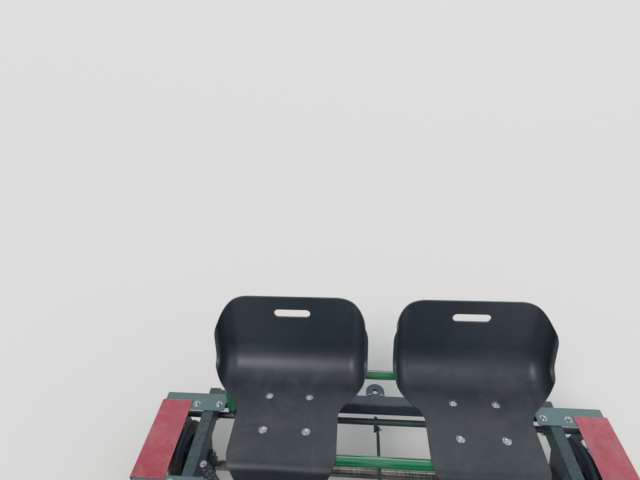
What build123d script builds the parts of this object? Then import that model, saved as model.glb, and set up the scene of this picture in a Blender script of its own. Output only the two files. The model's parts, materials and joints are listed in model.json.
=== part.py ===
from build123d import *
from math import acos, atan2, cos, pi, radians, sin, sqrt
import os

os.makedirs("parts", exist_ok=True)

# A pedal railway handcar for four people, in millimetres.
# X runs across the track, Y along it with the front at -Y, and Z up.
# The origin is on the track's centre line, midway between the axles, at the
# height of the wheel flanges' lowest points.

# Track and wheels
rail_gauge = 1435.0
flange_play = 7.5
flange_thickness = 30.0
flange_depth = 25.0
tread_radius = 125.0
tread_width = 75.0
tread_taper = 0.05
flange_throat = 8.0
flange_tip_height = 11.0
flange_lean = 2.0
rim_slope = 4.0
hub_slope = 5.0
rim_depth = 22.0
wheelbase = 1232.0
axle_radius = 17.5
axle_end = 8.0
axle_chamfer = 3.0
hub_radius = 36.0
hub_inner_reach = 12.0
hub_outer_recess = 12.0
web_thickness = 12.0
web_hole_radius = 16.0
web_hole_circle = 68.0
web_holes = 6
running_clearance = 0.1

# Chassis tubes
end_overhang = 204.0
sill_width = 44.0
sill_height = 60.0
tube_wall = 3.0
tube_corner = 6.0
sill_x = 618.0
deck_z = 320.0
pedal_member_y = -220.0
mid_member_y = 150.0
bench_member_y = 420.0

# Axle hangers and bearings
hanger_thickness = 10.0
hanger_top_length = 170.0
hanger_foot_radius = 46.0
hanger_hole_gap = 4.0
hanger_lip = 14.0
bearing_flange = 84.0
bearing_flange_thickness = 12.0
bearing_boss_radius = 31.0
bearing_depth = 22.0
bearing_corner = 16.0

# Deck plates and wheel guards
plate_thickness = 4.0
plate_length = 70.0
plate_inner_x = 560.0
plate_outer_x = 794.0
plate_corner = 5.0
guard_thickness = 3.0
guard_inner_x = 689.0
guard_outer_x = 806.0
guard_skirt = 72.0
guard_fold = 9.0
guard_lap = 12.0
outer_plate_inset = 25.0

# Bent tube frames under the seats and the handrail
frame_tube_radius = 15.5
frame_tube_wall = 2.5
frame_tube_x = 541.0
front_hoop_x = 395.0
front_hoop_bend = 40.0
rear_hoop_bend = 150.0
frame_foot_z = 293.0
foot_plug_depth = 30.0
seat_tube_z = 510.0
seat_bar_spread = 65.0
plug_lip = 4.0
handrail_z = 905.0
handrail_back = 165.0
handrail_knee_z = 430.0
handrail_bend = 70.0
grip_radius = 21.0
grip_length = 130.0
grip_spots = (-400.0, -195.0, 195.0, 400.0)

# Moulded seats: a bent channel shell
seat_x = 290.0
front_seat_overhang = 22.5
rear_seat_overhang = 42.5
seat_half_width = 236.0
seat_wall = 5.0
seat_wing = 62.0
seat_wing_bend = 46.0
seat_rim = 14.0
seat_rim_bend = 6.0
seat_lip_drop = 46.0
seat_lip_reach = 26.0
seat_pan_front = 205.0
seat_pan_back = 160.0
seat_back_rise = 262.0
seat_back_lean = 56.0
seat_lip_bend = 36.0
seat_back_bend = 105.0
seat_corner = 105.0
seat_waist = 158.0
seat_waist_end = -15.0
seat_flare_start = 75.0
seat_flare_bend = 60.0
seat_front_bend = 80.0
seat_slot_length = 120.0
seat_slot_height = 28.0
seat_slot_rise = 195.0
seat_top_trim = 8.0
seat_front_margin = 10.0
seat_cut_margin = 20.0
soft_gap = 0.3

# Foot trays in front of the rear seats
tray_inner_x = 70.0
tray_outer_x = 560.0
tray_floor_z = 184.0
tray_wall = 4.0
tray_top_z = 300.0
tray_bend = 12.0

# Corner braces
brace_width = 30.0
brace_thickness = 6.0
front_brace_reach = 110.0
bench_brace_reach = 83.0
brace_drop = 3.0

# Pedal drive
crank_x = 300.0
crank_y = -550.0
crank_z = 400.0
crank_length = 165.0
crank_spindle_radius = 10.0
crank_arm_inner = 52.0
crank_arm_thickness = 14.0
crank_boss_radius = 19.0
crank_eye_radius = 13.0
spider_radius = 27.0
shell_radius = 22.0
shell_half_length = 34.0
shell_saddle_half = 24.0
shell_saddle_width = 40.0
shell_saddle_cut = 80.0
boom_radius = 20.0
boom_wall = 3.0
boom_end_z = 290.0
boom_rise_length = 108.0
boom_stub = 44.0
boom_bend = 60.0
chain_pitch = 12.7
chain_line = 42.5
chainring_teeth = 48
chainring_windows = 5
chainring_window_circle = 0.58
chainring_window_radius = 0.22
sprocket_teeth = 18
tooth_height = 3.6
tooth_thickness = 3.6
tooth_root_share = 0.28
tooth_tip_share = 0.1
chain_half_gap = 2.4
chain_plate = 2.2
chain_half_height = 4.5
roller_radius = 3.6
freewheel_hub_radius = 27.0
freewheel_hub_half_width = 11.0
collar_radius = 27.0
collar_width = 12.0
collar_gap = 0.5
pedal_spindle_radius = 6.0
pedal_length = 88.0
pedal_reach = 96.0
pedal_height = 24.0
pedal_offset = 6.0
pedal_barrel_radius = 11.0
pedal_block = 22.0
pedal_block_corner = 5.0
pedal_plate = 5.0
pedal_plate_reach = 88.0
pedal_plate_height = 18.0
pedal_plate_corner = 6.0

# Brake
brake_shaft_offset = 146.0
brake_shaft_z = 240.0
brake_shaft_radius = 12.0
brake_shaft_end_x = 762.0
lever_offset = 57.0
lever_arm = 45.0
lever_top_z = 815.0
lever_top_lean = -34.0
lever_thickness = 10.0
lever_hub_radius = 20.0
lever_tip_radius = 11.5
brake_pin_radius = 6.0
pin_rim = 7.0
pin_proud = 3.0
rod_radius = 6.0
rod_eye_radius = 12.0
rod_eye_thickness = 8.0
rod_gap = 1.0
rod_neck_radius = 4.0
rod_neck_length = 6.0
bracket_cheek = 8.0
bracket_edge = 4.0
bracket_top_step = 8.0
bracket_eye_radius = 18.0
bracket_pin_proud = 2.0
shoe_gap = 12.0
shoe_depth = 26.0
shoe_width = 46.0
shoe_half_angle = 15.0
shoe_arm_thickness = 10.0
shoe_arm_width = 32.0
shoe_arm_boss = 20.0
shoe_cut_depth = 20.0
shoe_cut_slack = 0.02
brake_lug_radius = 20.0
brake_lug_thickness = 16.0
brake_grip_radius = 17.0
brake_grip_length = 120.0
brake_grip_cap = 6.0
brake_grip_flat = 4.0
brake_grip_round = 5.0

# Buffers and couplings
buffer_x = 400.0
buffer_radius = 32.0
buffer_tip_radius = 24.0
buffer_length = 48.0
coupling_hole_radius = 11.0
coupling_thickness = 12.0
coupling_width = 70.0
coupling_reach = 70.0

# Worked-out places
chassis_length = wheelbase + 2 * end_overhang
brake_shaft_y = wheelbase / 2 + brake_shaft_offset
lever_y = pedal_member_y - lever_offset
flange_outer_x = rail_gauge / 2 - flange_play
flange_inner_x = flange_outer_x - flange_thickness
tread_outer_x = flange_outer_x + tread_width
flange_radius = tread_radius + flange_depth
axle_z = flange_radius
axle_places = {"front": -wheelbase / 2, "rear": wheelbase / 2}
axle_half = tread_outer_x + axle_end
hub_inner_x = flange_inner_x - hub_inner_reach
hub_outer_x = tread_outer_x - hub_outer_recess
web_x = (flange_inner_x + tread_outer_x) / 2
sill_bottom_z = deck_z - sill_height
tube_mid_z = deck_z - sill_height / 2
sill_inner_x = sill_x - sill_width / 2
end_member_y = chassis_length / 2 - sill_width / 2
member_half = sill_width / 2
seat_base_z = seat_tube_z + frame_tube_radius + soft_gap
sides = {"left": 1, "right": -1}


def across(x, y, z):
    """A sketch plane that faces +X, with its own x along Y and its own y along Z."""
    return Plane(origin=(x, y, z), x_dir=(0, 1, 0), z_dir=(1, 0, 0))


def bent_tube(points, bend, radius, wall):
    """Adds a round tube bent along the points to the part being built."""
    with BuildLine() as route:
        FilletPolyline(*points, radius=bend)
    with BuildSketch(Plane(origin=route.line @ 0, z_dir=route.line % 0)) as ring:
        Circle(radius)
        Circle(radius - wall, mode=Mode.SUBTRACT)
    sweep(sections=ring.sketch, path=route.line)


def box_tube(plane, width, height, length):
    """Adds a square-section tube, along the plane's normal, to the part being built."""
    with BuildSketch(plane) as ring:
        RectangleRounded(width, height, tube_corner)
        RectangleRounded(
            width - 2 * tube_wall,
            height - 2 * tube_wall,
            tube_corner - tube_wall,
            mode=Mode.SUBTRACT,
        )
    extrude(ring.sketch, amount=length)


def rod_along_x(start_x, end_x, y, z, radius, mode=Mode.ADD):
    """Adds or cuts a round bar that runs along X."""
    with BuildSketch(across(start_x, y, z)) as round_end:
        Circle(radius)
    extrude(round_end.sketch, amount=end_x - start_x, mode=mode)


def save(part, name):
    part.label = name
    export_step(part, f"parts/{name}.step")


# Chassis: two sills joined by five cross members
with BuildPart() as side_sills:
    for side in sides.values():
        plane = Plane(
            origin=(side * sill_x, -chassis_length / 2, tube_mid_z),
            x_dir=(1, 0, 0),
            z_dir=(0, 1, 0),
        )
        box_tube(plane, sill_width, sill_height, chassis_length)
save(side_sills.part, "side_sills")

member_places = (
    -end_member_y,
    pedal_member_y,
    mid_member_y,
    bench_member_y,
    end_member_y,
)
with BuildPart() as cross_members:
    for y in member_places:
        box_tube(across(-sill_inner_x, y, tube_mid_z), sill_width, sill_height, 2 * sill_inner_x)
save(cross_members.part, "cross_members")

# Flat braces across the corners behind the bench member and the front member
with BuildPart() as corner_braces:
    brace_skew = brace_width * sqrt(2)
    for side in sides.values():
        for member_y, near in ((-end_member_y, front_brace_reach), (bench_member_y, bench_brace_reach)):
            y = member_y + member_half
            corner = side * sill_inner_x
            far = near + brace_skew
            with BuildSketch(Plane.XY.offset(deck_z - brace_drop - brace_thickness)) as strip:
                with BuildLine():
                    Polyline(
                        (corner, y + near),
                        (corner, y + far),
                        (corner - side * far, y),
                        (corner - side * near, y),
                        close=True,
                    )
                make_face()
            extrude(strip.sketch, amount=brace_thickness)
save(corner_braces.part, "corner_braces")

# Axle hangers under the sills, each with a flanged bearing on its inner face
with BuildPart() as axle_hangers:
    for y in axle_places.values():
        for side in sides.values():
            with BuildSketch(across(side * sill_x - hanger_thickness / 2, y, axle_z)) as web:
                with BuildLine():
                    top = sill_bottom_z - axle_z
                    half = hanger_top_length / 2
                    foot = hanger_foot_radius
                    lip = top - hanger_lip
                    Polyline((-foot, 0), (-half, lip), (-half, top), (half, top), (half, lip), (foot, 0))
                    ThreePointArc((foot, 0), (0, -foot), (-foot, 0))
                make_face()
                Circle(axle_radius + hanger_hole_gap, mode=Mode.SUBTRACT)
            extrude(web.sketch, amount=hanger_thickness)
save(axle_hangers.part, "axle_hangers")

with BuildPart() as axle_bearings:
    for y in axle_places.values():
        for side in sides.values():
            face_x = side * (sill_x - hanger_thickness / 2)
            with BuildSketch(across(face_x, y, axle_z)) as flange:
                RectangleRounded(bearing_flange, bearing_flange, bearing_corner)
            extrude(flange.sketch, amount=-side * bearing_flange_thickness)
            with BuildSketch(across(face_x, y, axle_z)) as boss:
                Circle(bearing_boss_radius)
            extrude(boss.sketch, amount=-side * bearing_depth)
            start = face_x - side * bearing_depth
            rod_along_x(start, face_x, y, axle_z, axle_radius + running_clearance, Mode.SUBTRACT)
save(axle_bearings.part, "axle_bearings")

# Wheels: a tapered tread, a rounded flange, a thin web with lightening holes
for place, y in axle_places.items():
    with BuildPart() as wheels:
        for side in sides.values():
            plane = Plane(origin=(0, y, axle_z), x_dir=(side, 0, 0), z_dir=(0, -side, 0))
            with BuildSketch(plane) as profile:
                with BuildLine():
                    rim_inner = tread_radius - rim_depth
                    tread_end = tread_radius - tread_taper * tread_width
                    flange_face_x = flange_outer_x - flange_lean
                    tip_x = (flange_inner_x + flange_face_x) / 2
                    neck = flange_radius - flange_tip_height
                    Polyline(
                        (hub_inner_x, axle_radius),
                        (hub_outer_x, axle_radius),
                        (hub_outer_x, hub_radius),
                        (web_x + web_thickness / 2, hub_radius + hub_slope),
                        (web_x + web_thickness / 2, rim_inner - rim_slope),
                        (tread_outer_x, rim_inner + rim_slope),
                        (tread_outer_x, tread_end),
                        (flange_outer_x + flange_throat, tread_radius),
                        (flange_face_x, neck),
                    )
                    ThreePointArc(
                        (flange_face_x, neck),
                        (tip_x, flange_radius),
                        (flange_inner_x, neck),
                    )
                    Polyline(
                        (flange_inner_x, neck),
                        (flange_inner_x, rim_inner + rim_slope),
                        (web_x - web_thickness / 2, rim_inner - rim_slope),
                        (web_x - web_thickness / 2, hub_radius + hub_slope),
                        (hub_inner_x, hub_radius),
                        (hub_inner_x, axle_radius),
                    )
                make_face()
            revolve(profile.sketch, axis=Axis((0, y, axle_z), (1, 0, 0)))
            with BuildSketch(across(side * web_x, y, axle_z)) as holes:
                with PolarLocations(web_hole_circle, web_holes):
                    Circle(web_hole_radius)
            extrude(holes.sketch, amount=web_thickness, both=True, mode=Mode.SUBTRACT)
    save(wheels.part, f"{place}_wheels")

    with BuildPart() as axle:
        rod_along_x(-axle_half, axle_half, y, axle_z, axle_radius)
        chamfer(axle.edges().filter_by(GeomType.CIRCLE), length=axle_chamfer)
        if place == "front":
            for side in sides.values():
                middle = side * (crank_x - chain_line)
                for step in (-1, 1):
                    near = middle + step * (freewheel_hub_half_width + collar_gap)
                    far = near + step * collar_width
                    rod_along_x(near, far, y, axle_z, collar_radius)
    save(axle.part, f"{place}_axle")

# Deck plates at each end of each wheel, and the red guard between them
with BuildPart() as deck_plates:
    for y in axle_places.values():
        for side in sides.values():
            for end in (-1, 1):
                inset = outer_plate_inset if end * y > 0 else 0
                middle_y = y + end * (end_overhang - plate_length / 2 - inset)
                middle_x = side * (plate_inner_x + plate_outer_x) / 2
                with BuildSketch(Plane.XY.offset(deck_z)) as outline:
                    with Locations((middle_x, middle_y)):
                        RectangleRounded(plate_outer_x - plate_inner_x, plate_length, plate_corner)
                extrude(outline.sketch, amount=plate_thickness)
save(deck_plates.part, "deck_plates")

with BuildPart() as wheel_guards:
    guard_z = deck_z + plate_thickness
    guard_length = 2 * (end_overhang - plate_length + guard_lap)
    for y in axle_places.values():
        for side in sides.values():
            start = y - side * guard_length / 2
            plane = Plane(origin=(0, start, 0), x_dir=(side, 0, 0), z_dir=(0, side, 0))
            down = -1
            top = guard_z + guard_thickness
            inner_fold = guard_fold - guard_thickness
            with BuildSketch(plane) as fold:
                with BuildLine():
                    Polyline(
                        (guard_outer_x, down * (top - guard_fold)),
                        (guard_outer_x, down * (top - guard_skirt)),
                        (guard_outer_x - guard_thickness, down * (top - guard_skirt)),
                        (guard_outer_x - guard_thickness, down * (top - guard_fold)),
                    )
                    RadiusArc(
                        (guard_outer_x - guard_thickness, down * (top - guard_fold)),
                        (guard_outer_x - guard_fold, down * guard_z),
                        inner_fold,
                    )
                    Polyline(
                        (guard_outer_x - guard_fold, down * guard_z),
                        (guard_inner_x, down * guard_z),
                        (guard_inner_x, down * top),
                        (guard_outer_x - guard_fold, down * top),
                    )
                    RadiusArc(
                        (guard_outer_x - guard_fold, down * top),
                        (guard_outer_x, down * (top - guard_fold)),
                        -guard_fold,
                    )
                make_face()
            extrude(fold.sketch, amount=guard_length)
save(wheel_guards.part, "wheel_guards")

# Seat frames: two bent hoops a row, whose capped feet stand against the cross members
bench_rear_leg = end_member_y - member_half - frame_tube_radius
bench_front_leg = bench_member_y + member_half + frame_tube_radius
front_front_leg = pedal_member_y + member_half + frame_tube_radius
front_rear_leg = mid_member_y - member_half - frame_tube_radius
handrail_leg = -end_member_y + member_half + frame_tube_radius
seat_rows = {
    "front": (front_front_leg, front_rear_leg, front_seat_overhang),
    "rear": (bench_front_leg, bench_rear_leg, rear_seat_overhang),
}
for row, (leg_a, leg_b, overhang) in seat_rows.items():
    seat_y = leg_a + seat_pan_front - overhang
    with BuildPart() as frames:
        hoops = (
            (leg_a, front_hoop_x, front_hoop_bend),
            (leg_b, frame_tube_x, rear_hoop_bend),
        )
        for y, foot_x, bend in hoops:
            bent_tube(
                [(foot_x, y, frame_foot_z), (foot_x, y, seat_tube_z),
                 (-foot_x, y, seat_tube_z), (-foot_x, y, frame_foot_z)],
                bend, frame_tube_radius, frame_tube_wall,
            )
    save(frames.part, f"{row}_seat_frames")

    with BuildPart() as bars:
        near_y = leg_a + frame_tube_radius
        far_y = leg_b - frame_tube_radius
        for side in sides.values():
            for spread in (-seat_bar_spread, seat_bar_spread):
                origin = (side * seat_x + spread, near_y, seat_tube_z)
                with BuildSketch(Plane(origin=origin, z_dir=(0, 1, 0))) as ring:
                    Circle(frame_tube_radius)
                    Circle(frame_tube_radius - frame_tube_wall, mode=Mode.SUBTRACT)
                extrude(ring.sketch, amount=far_y - near_y)
    save(bars.part, f"{row}_seat_bars")

    for name, side in sides.items():
        x = side * seat_x
        with BuildPart() as shell:
            pan = seat_base_z + seat_wall
            with BuildLine() as spine:
                FilletPolyline(
                    (x, seat_y - seat_pan_front - seat_lip_reach, pan - seat_lip_drop),
                    (x, seat_y - seat_pan_front, pan),
                    (x, seat_y + seat_pan_back, pan),
                    (x, seat_y + seat_pan_back + seat_back_lean, pan + seat_back_rise),
                    radius=[seat_lip_bend, seat_back_bend],
                )
            start = Plane(origin=spine.line @ 0, x_dir=(1, 0, 0), z_dir=spine.line % 0)
            with BuildSketch(start) as channel:
                with BuildLine():
                    FilletPolyline(
                        (-seat_half_width - seat_rim, -seat_wing),
                        (-seat_half_width, -seat_wing),
                        (-seat_half_width, 0),
                        (seat_half_width, 0),
                        (seat_half_width, -seat_wing),
                        (seat_half_width + seat_rim, -seat_wing),
                        radius=[seat_rim_bend, seat_wing_bend, seat_wing_bend, seat_rim_bend],
                    )
                    offset(amount=seat_wall, side=Side.LEFT)
                make_face()
            sweep(sections=channel.sketch, path=spine.line)
            width = 2 * (seat_half_width + seat_rim)
            front_y = seat_y - seat_pan_front - seat_lip_reach - seat_front_margin
            back_y = seat_y + seat_pan_back + seat_back_lean + seat_rim + seat_wing
            low_z = pan - seat_lip_drop - seat_cut_margin
            high_z = pan + seat_back_rise - seat_top_trim
            # Seen from above, the shell is narrow at the thighs and flares to the back's wings
            edge = [
                (0, front_y),
                (seat_waist, front_y),
                (seat_waist, seat_y + seat_waist_end),
                (width / 2, seat_y + seat_flare_start),
                (width / 2, back_y),
                (0, back_y),
            ]
            bends = [seat_front_bend, seat_flare_bend, seat_flare_bend, seat_rim]
            with BuildSketch(Plane.XY.offset(low_z)) as plan:
                with BuildLine():
                    FilletPolyline(*[(x + across_seat, y) for across_seat, y in edge], radius=bends)
                    FilletPolyline(*[(x - across_seat, y) for across_seat, y in edge], radius=bends)
                make_face()
            extrude(plan.sketch, amount=high_z - low_z, mode=Mode.INTERSECT)
            behind = Plane(origin=(0, back_y, 0), x_dir=(1, 0, 0), z_dir=(0, -1, 0))
            with BuildSketch(behind) as face:
                with Locations((x, (low_z + high_z) / 2)):
                    Rectangle(width, high_z - low_z)
                fillet(face.vertices().group_by(Axis.Y)[-1], radius=seat_corner)
            extrude(face.sketch, amount=back_y - front_y, mode=Mode.INTERSECT)
            with BuildSketch(behind) as hand_slot:
                with Locations((x, pan + seat_slot_rise)):
                    SlotOverall(seat_slot_length, seat_slot_height)
            extrude(hand_slot.sketch, amount=back_y - seat_y, mode=Mode.SUBTRACT)
        save(shell.part, f"{row}_seat_{name}")

# Handrail across the front, with foam grips for the two front riders
rail_top_y = handrail_leg + handrail_back
with BuildPart() as handrail:
    bent_tube(
        [(frame_tube_x, handrail_leg, frame_foot_z),
         (frame_tube_x, handrail_leg, handrail_knee_z),
         (frame_tube_x, rail_top_y, handrail_z),
         (-frame_tube_x, rail_top_y, handrail_z),
         (-frame_tube_x, handrail_leg, handrail_knee_z),
         (-frame_tube_x, handrail_leg, frame_foot_z)],
        handrail_bend, frame_tube_radius, frame_tube_wall,
    )
save(handrail.part, "handrail")

with BuildPart() as handrail_grips:
    for x in grip_spots:
        start = x - grip_length / 2
        rod_along_x(start, start + grip_length, rail_top_y, handrail_z, grip_radius)
    inner = frame_tube_radius + soft_gap
    rod_along_x(-frame_tube_x, frame_tube_x, rail_top_y, handrail_z, inner, Mode.SUBTRACT)
save(handrail_grips.part, "handrail_grips")

# Black plugs in the ends of the bent tubes and of the sills
with BuildPart() as end_plugs:
    for side in sides.values():
        feet = (
            (front_hoop_x, front_front_leg),
            (frame_tube_x, front_rear_leg),
            (front_hoop_x, bench_front_leg),
            (frame_tube_x, bench_rear_leg),
            (frame_tube_x, handrail_leg),
        )
        for foot_x, y in feet:
            with BuildSketch(Plane.XY.offset(frame_foot_z - foot_plug_depth)) as lip:
                with Locations((side * foot_x, y)):
                    Circle(frame_tube_radius)
            extrude(lip.sketch, amount=foot_plug_depth)
        for end in sides.values():
            plane = Plane(
                origin=(side * sill_x, end * chassis_length / 2, tube_mid_z),
                x_dir=(1, 0, 0),
                z_dir=(0, end, 0),
            )
            with BuildSketch(plane) as cap:
                RectangleRounded(sill_width, sill_height, tube_corner)
            extrude(cap.sketch, amount=plug_lip)
save(end_plugs.part, "end_plugs")

# Folded foot trays hung between the two middle cross members
with BuildPart() as foot_trays:
    front_face = mid_member_y + member_half
    rear_face = bench_member_y - member_half
    for side in sides.values():
        near = min(side * tray_inner_x, side * tray_outer_x)
        with BuildSketch(across(near, 0, 0)) as fold:
            with BuildLine():
                FilletPolyline(
                    (front_face, tray_top_z),
                    (front_face, tray_floor_z - tray_wall),
                    (rear_face, tray_floor_z - tray_wall),
                    (rear_face, tray_top_z),
                    radius=tray_bend,
                )
                offset(amount=tray_wall, side=Side.LEFT)
            make_face()
        extrude(fold.sketch, amount=tray_outer_x - tray_inner_x)
save(foot_trays.part, "foot_trays")


def tangent_loop(first, first_radius, second, second_radius, mode=Mode.ADD):
    """Draws the outline round two circles that are joined by their outer tangents."""
    span = Vector(*second) - Vector(*first)
    heading = atan2(span.Y, span.X)
    turn = acos((first_radius - second_radius) / span.length)
    corners = []
    for centre, radius, signs in ((first, first_radius, (-1, 1)), (second, second_radius, (1, -1))):
        with Locations(centre):
            Circle(radius, mode=mode)
        for sign in signs:
            angle = heading + sign * turn
            corners.append((centre[0] + radius * cos(angle), centre[1] + radius * sin(angle)))
    Polygon(*corners, align=None, mode=mode)


def toothed_outline(teeth):
    """Draws a sprocket's outline about the sketch's origin."""
    pitch_radius = chain_pitch / (2 * sin(pi / teeth))
    root = pitch_radius - roller_radius
    tip = pitch_radius + tooth_height
    step = 2 * pi / teeth
    points = []
    for tooth in range(teeth):
        for share, radius in (
            (-tooth_root_share, root),
            (-tooth_tip_share, tip),
            (tooth_tip_share, tip),
            (tooth_root_share, root),
        ):
            angle = (tooth + share) * step
            points.append((radius * cos(angle), radius * sin(angle)))
    Polygon(*points, align=None)


# Pedal drive: each rider has a crankset on a boom, a chain and a freewheel on the front axle
boom_z = crank_z - shell_radius - boom_radius
boom_rear = pedal_member_y - member_half
boom_front = -end_member_y + member_half
axle_y = axle_places["front"]
ring_pitch_radius = chain_pitch / (2 * sin(pi / chainring_teeth))
sprocket_pitch_radius = chain_pitch / (2 * sin(pi / sprocket_teeth))

with BuildPart() as pedal_booms:
    for side in sides.values():
        x = side * crank_x
        bent_tube(
            [(x, boom_rear, boom_end_z),
             (x, boom_rear - boom_stub, boom_end_z),
             (x, boom_rear - boom_stub - boom_rise_length, boom_z),
             (x, boom_front + boom_stub + boom_rise_length, boom_z),
             (x, boom_front + boom_stub, boom_end_z),
             (x, boom_front, boom_end_z)],
            boom_bend, boom_radius, boom_wall,
        )
save(pedal_booms.part, "pedal_booms")

with BuildPart() as crank_shells:
    for side in sides.values():
        x = side * crank_x
        rod_along_x(x - shell_half_length, x + shell_half_length, crank_y, crank_z, shell_radius)
        with BuildSketch(across(x - shell_saddle_half, crank_y, (crank_z + boom_z) / 2)) as saddle:
            Rectangle(shell_saddle_width, crank_z - boom_z)
        extrude(saddle.sketch, amount=2 * shell_saddle_half)
        along = Plane(origin=(x, crank_y - shell_saddle_cut / 2, boom_z), z_dir=(0, 1, 0))
        with BuildSketch(along) as seat:
            Circle(boom_radius)
        extrude(seat.sketch, amount=shell_saddle_cut, mode=Mode.SUBTRACT)
        bore = crank_spindle_radius + running_clearance
        rod_along_x(
            x - shell_half_length, x + shell_half_length, crank_y, crank_z, bore, Mode.SUBTRACT
        )
save(crank_shells.part, "crank_shells")

for name, side in sides.items():
    x = side * crank_x
    ring_x = x - side * chain_line
    arm_outer = crank_arm_inner + crank_arm_thickness
    with BuildPart() as crankset:
        rod_along_x(x - arm_outer, x + arm_outer, crank_y, crank_z, crank_spindle_radius)
        for reach in (-1, 1):
            near = reach * crank_arm_inner
            far = reach * arm_outer
            eye = (crank_y - side * reach * crank_length, crank_z)
            with BuildSketch(across(x + min(near, far), 0, 0)) as arm:
                tangent_loop((crank_y, crank_z), crank_boss_radius, eye, crank_eye_radius)
            extrude(arm.sketch, amount=crank_arm_thickness)
            pedal_end = reach * (arm_outer + pedal_offset + pedal_length)
            start = x + min(near, pedal_end)
            end = x + max(near, pedal_end)
            rod_along_x(start, end, eye[0], eye[1], pedal_spindle_radius)
        boss_a = x - side * (chain_line + tooth_thickness / 2)
        boss_b = x - side * crank_arm_inner
        rod_along_x(min(boss_a, boss_b), max(boss_a, boss_b), crank_y, crank_z, spider_radius)
    save(crankset.part, f"crankset_{name}")

    for spot, reach in (("outer", side), ("inner", -side)):
        near = reach * (arm_outer + pedal_offset)
        far = near + reach * pedal_length
        start = x + min(near, far)
        end = x + max(near, far)
        eye_y = crank_y - side * reach * crank_length
        with BuildPart() as pedal:
            rod_along_x(start, end, eye_y, crank_z, pedal_barrel_radius)
            with BuildSketch(across(start, eye_y, crank_z)) as blocks:
                with GridLocations(pedal_reach - pedal_block, 0, 2, 1):
                    RectangleRounded(pedal_block, pedal_height, pedal_block_corner)
            extrude(blocks.sketch, amount=pedal_length)
            for plate_x in (start, end - pedal_plate):
                with BuildSketch(across(plate_x, eye_y, crank_z)) as cheek:
                    RectangleRounded(pedal_plate_reach, pedal_plate_height, pedal_plate_corner)
                extrude(cheek.sketch, amount=pedal_plate)
            bore = pedal_spindle_radius + running_clearance
            rod_along_x(start, end, eye_y, crank_z, bore, Mode.SUBTRACT)
        save(pedal.part, f"pedal_{name}_{spot}")

    half = tooth_thickness / 2
    with BuildPart() as chainring:
        with BuildSketch(across(ring_x - half, crank_y, crank_z)) as disc:
            toothed_outline(chainring_teeth)
            Circle(crank_spindle_radius, mode=Mode.SUBTRACT)
            with PolarLocations(ring_pitch_radius * chainring_window_circle, chainring_windows):
                Circle(ring_pitch_radius * chainring_window_radius, mode=Mode.SUBTRACT)
        extrude(disc.sketch, amount=tooth_thickness)
    save(chainring.part, f"chainring_{name}")

    with BuildPart() as freewheel:
        with BuildSketch(across(ring_x - half, axle_y, axle_z)) as disc:
            toothed_outline(sprocket_teeth)
        extrude(disc.sketch, amount=tooth_thickness)
        start = ring_x - freewheel_hub_half_width
        end = ring_x + freewheel_hub_half_width
        rod_along_x(start, end, axle_y, axle_z, freewheel_hub_radius)
        rod_along_x(start, end, axle_y, axle_z, axle_radius + running_clearance, Mode.SUBTRACT)
    save(freewheel.part, f"freewheel_{name}")

    with BuildPart() as chain:
        for band_x in (ring_x - chain_half_gap - chain_plate, ring_x + chain_half_gap):
            with BuildSketch(across(band_x, 0, 0)) as band:
                for change, mode in ((chain_half_height, Mode.ADD), (-chain_half_height, Mode.SUBTRACT)):
                    tangent_loop(
                        (crank_y, crank_z), ring_pitch_radius + change,
                        (axle_y, axle_z), sprocket_pitch_radius + change,
                        mode,
                    )
            extrude(band.sketch, amount=chain_plate)
        span = Vector(axle_y - crank_y, axle_z - crank_z)
        heading = atan2(span.Y, span.X)
        turn = acos((ring_pitch_radius - sprocket_pitch_radius) / span.length)
        run = sqrt(span.length**2 - (ring_pitch_radius - sprocket_pitch_radius) ** 2)
        keep_off = tooth_height + roller_radius + chain_half_gap
        first = sqrt((ring_pitch_radius + keep_off) ** 2 - ring_pitch_radius**2)
        last = run - sqrt((sprocket_pitch_radius + keep_off) ** 2 - sprocket_pitch_radius**2)
        for sign in (-1, 1):
            angle = heading + sign * turn
            start_y = crank_y + ring_pitch_radius * cos(angle)
            start_z = crank_z + ring_pitch_radius * sin(angle)
            along = angle - sign * pi / 2
            for link in range(int((last - first) / chain_pitch) + 1):
                distance = first + link * chain_pitch
                y = start_y + distance * cos(along)
                z = start_z + distance * sin(along)
                reach = chain_half_gap + chain_plate / 2
                rod_along_x(ring_x - reach, ring_x + reach, y, z, roller_radius)
    save(chain.part, f"chain_{name}")

# Brake: a hand lever pulls a rod to a cross shaft, whose arms press shoes on the rear wheels
lever_pin_z = brake_shaft_z - lever_arm
eye_x = lever_thickness / 2 + rod_gap
with BuildPart() as brake_lever:
    with BuildSketch(across(-lever_thickness / 2, lever_y, brake_shaft_z)) as bar:
        top = (lever_top_lean, lever_top_z - brake_shaft_z)
        tangent_loop((0, 0), lever_hub_radius, top, lever_tip_radius)
        tangent_loop((0, 0), lever_hub_radius, (0, -lever_arm), brake_pin_radius + pin_rim)
        Circle(brake_pin_radius + running_clearance, mode=Mode.SUBTRACT)
    extrude(bar.sketch, amount=lever_thickness)
    pin_end = eye_x + rod_eye_thickness + pin_proud
    rod_along_x(0, pin_end, lever_y, lever_pin_z, brake_pin_radius)
save(brake_lever.part, "brake_lever")

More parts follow.
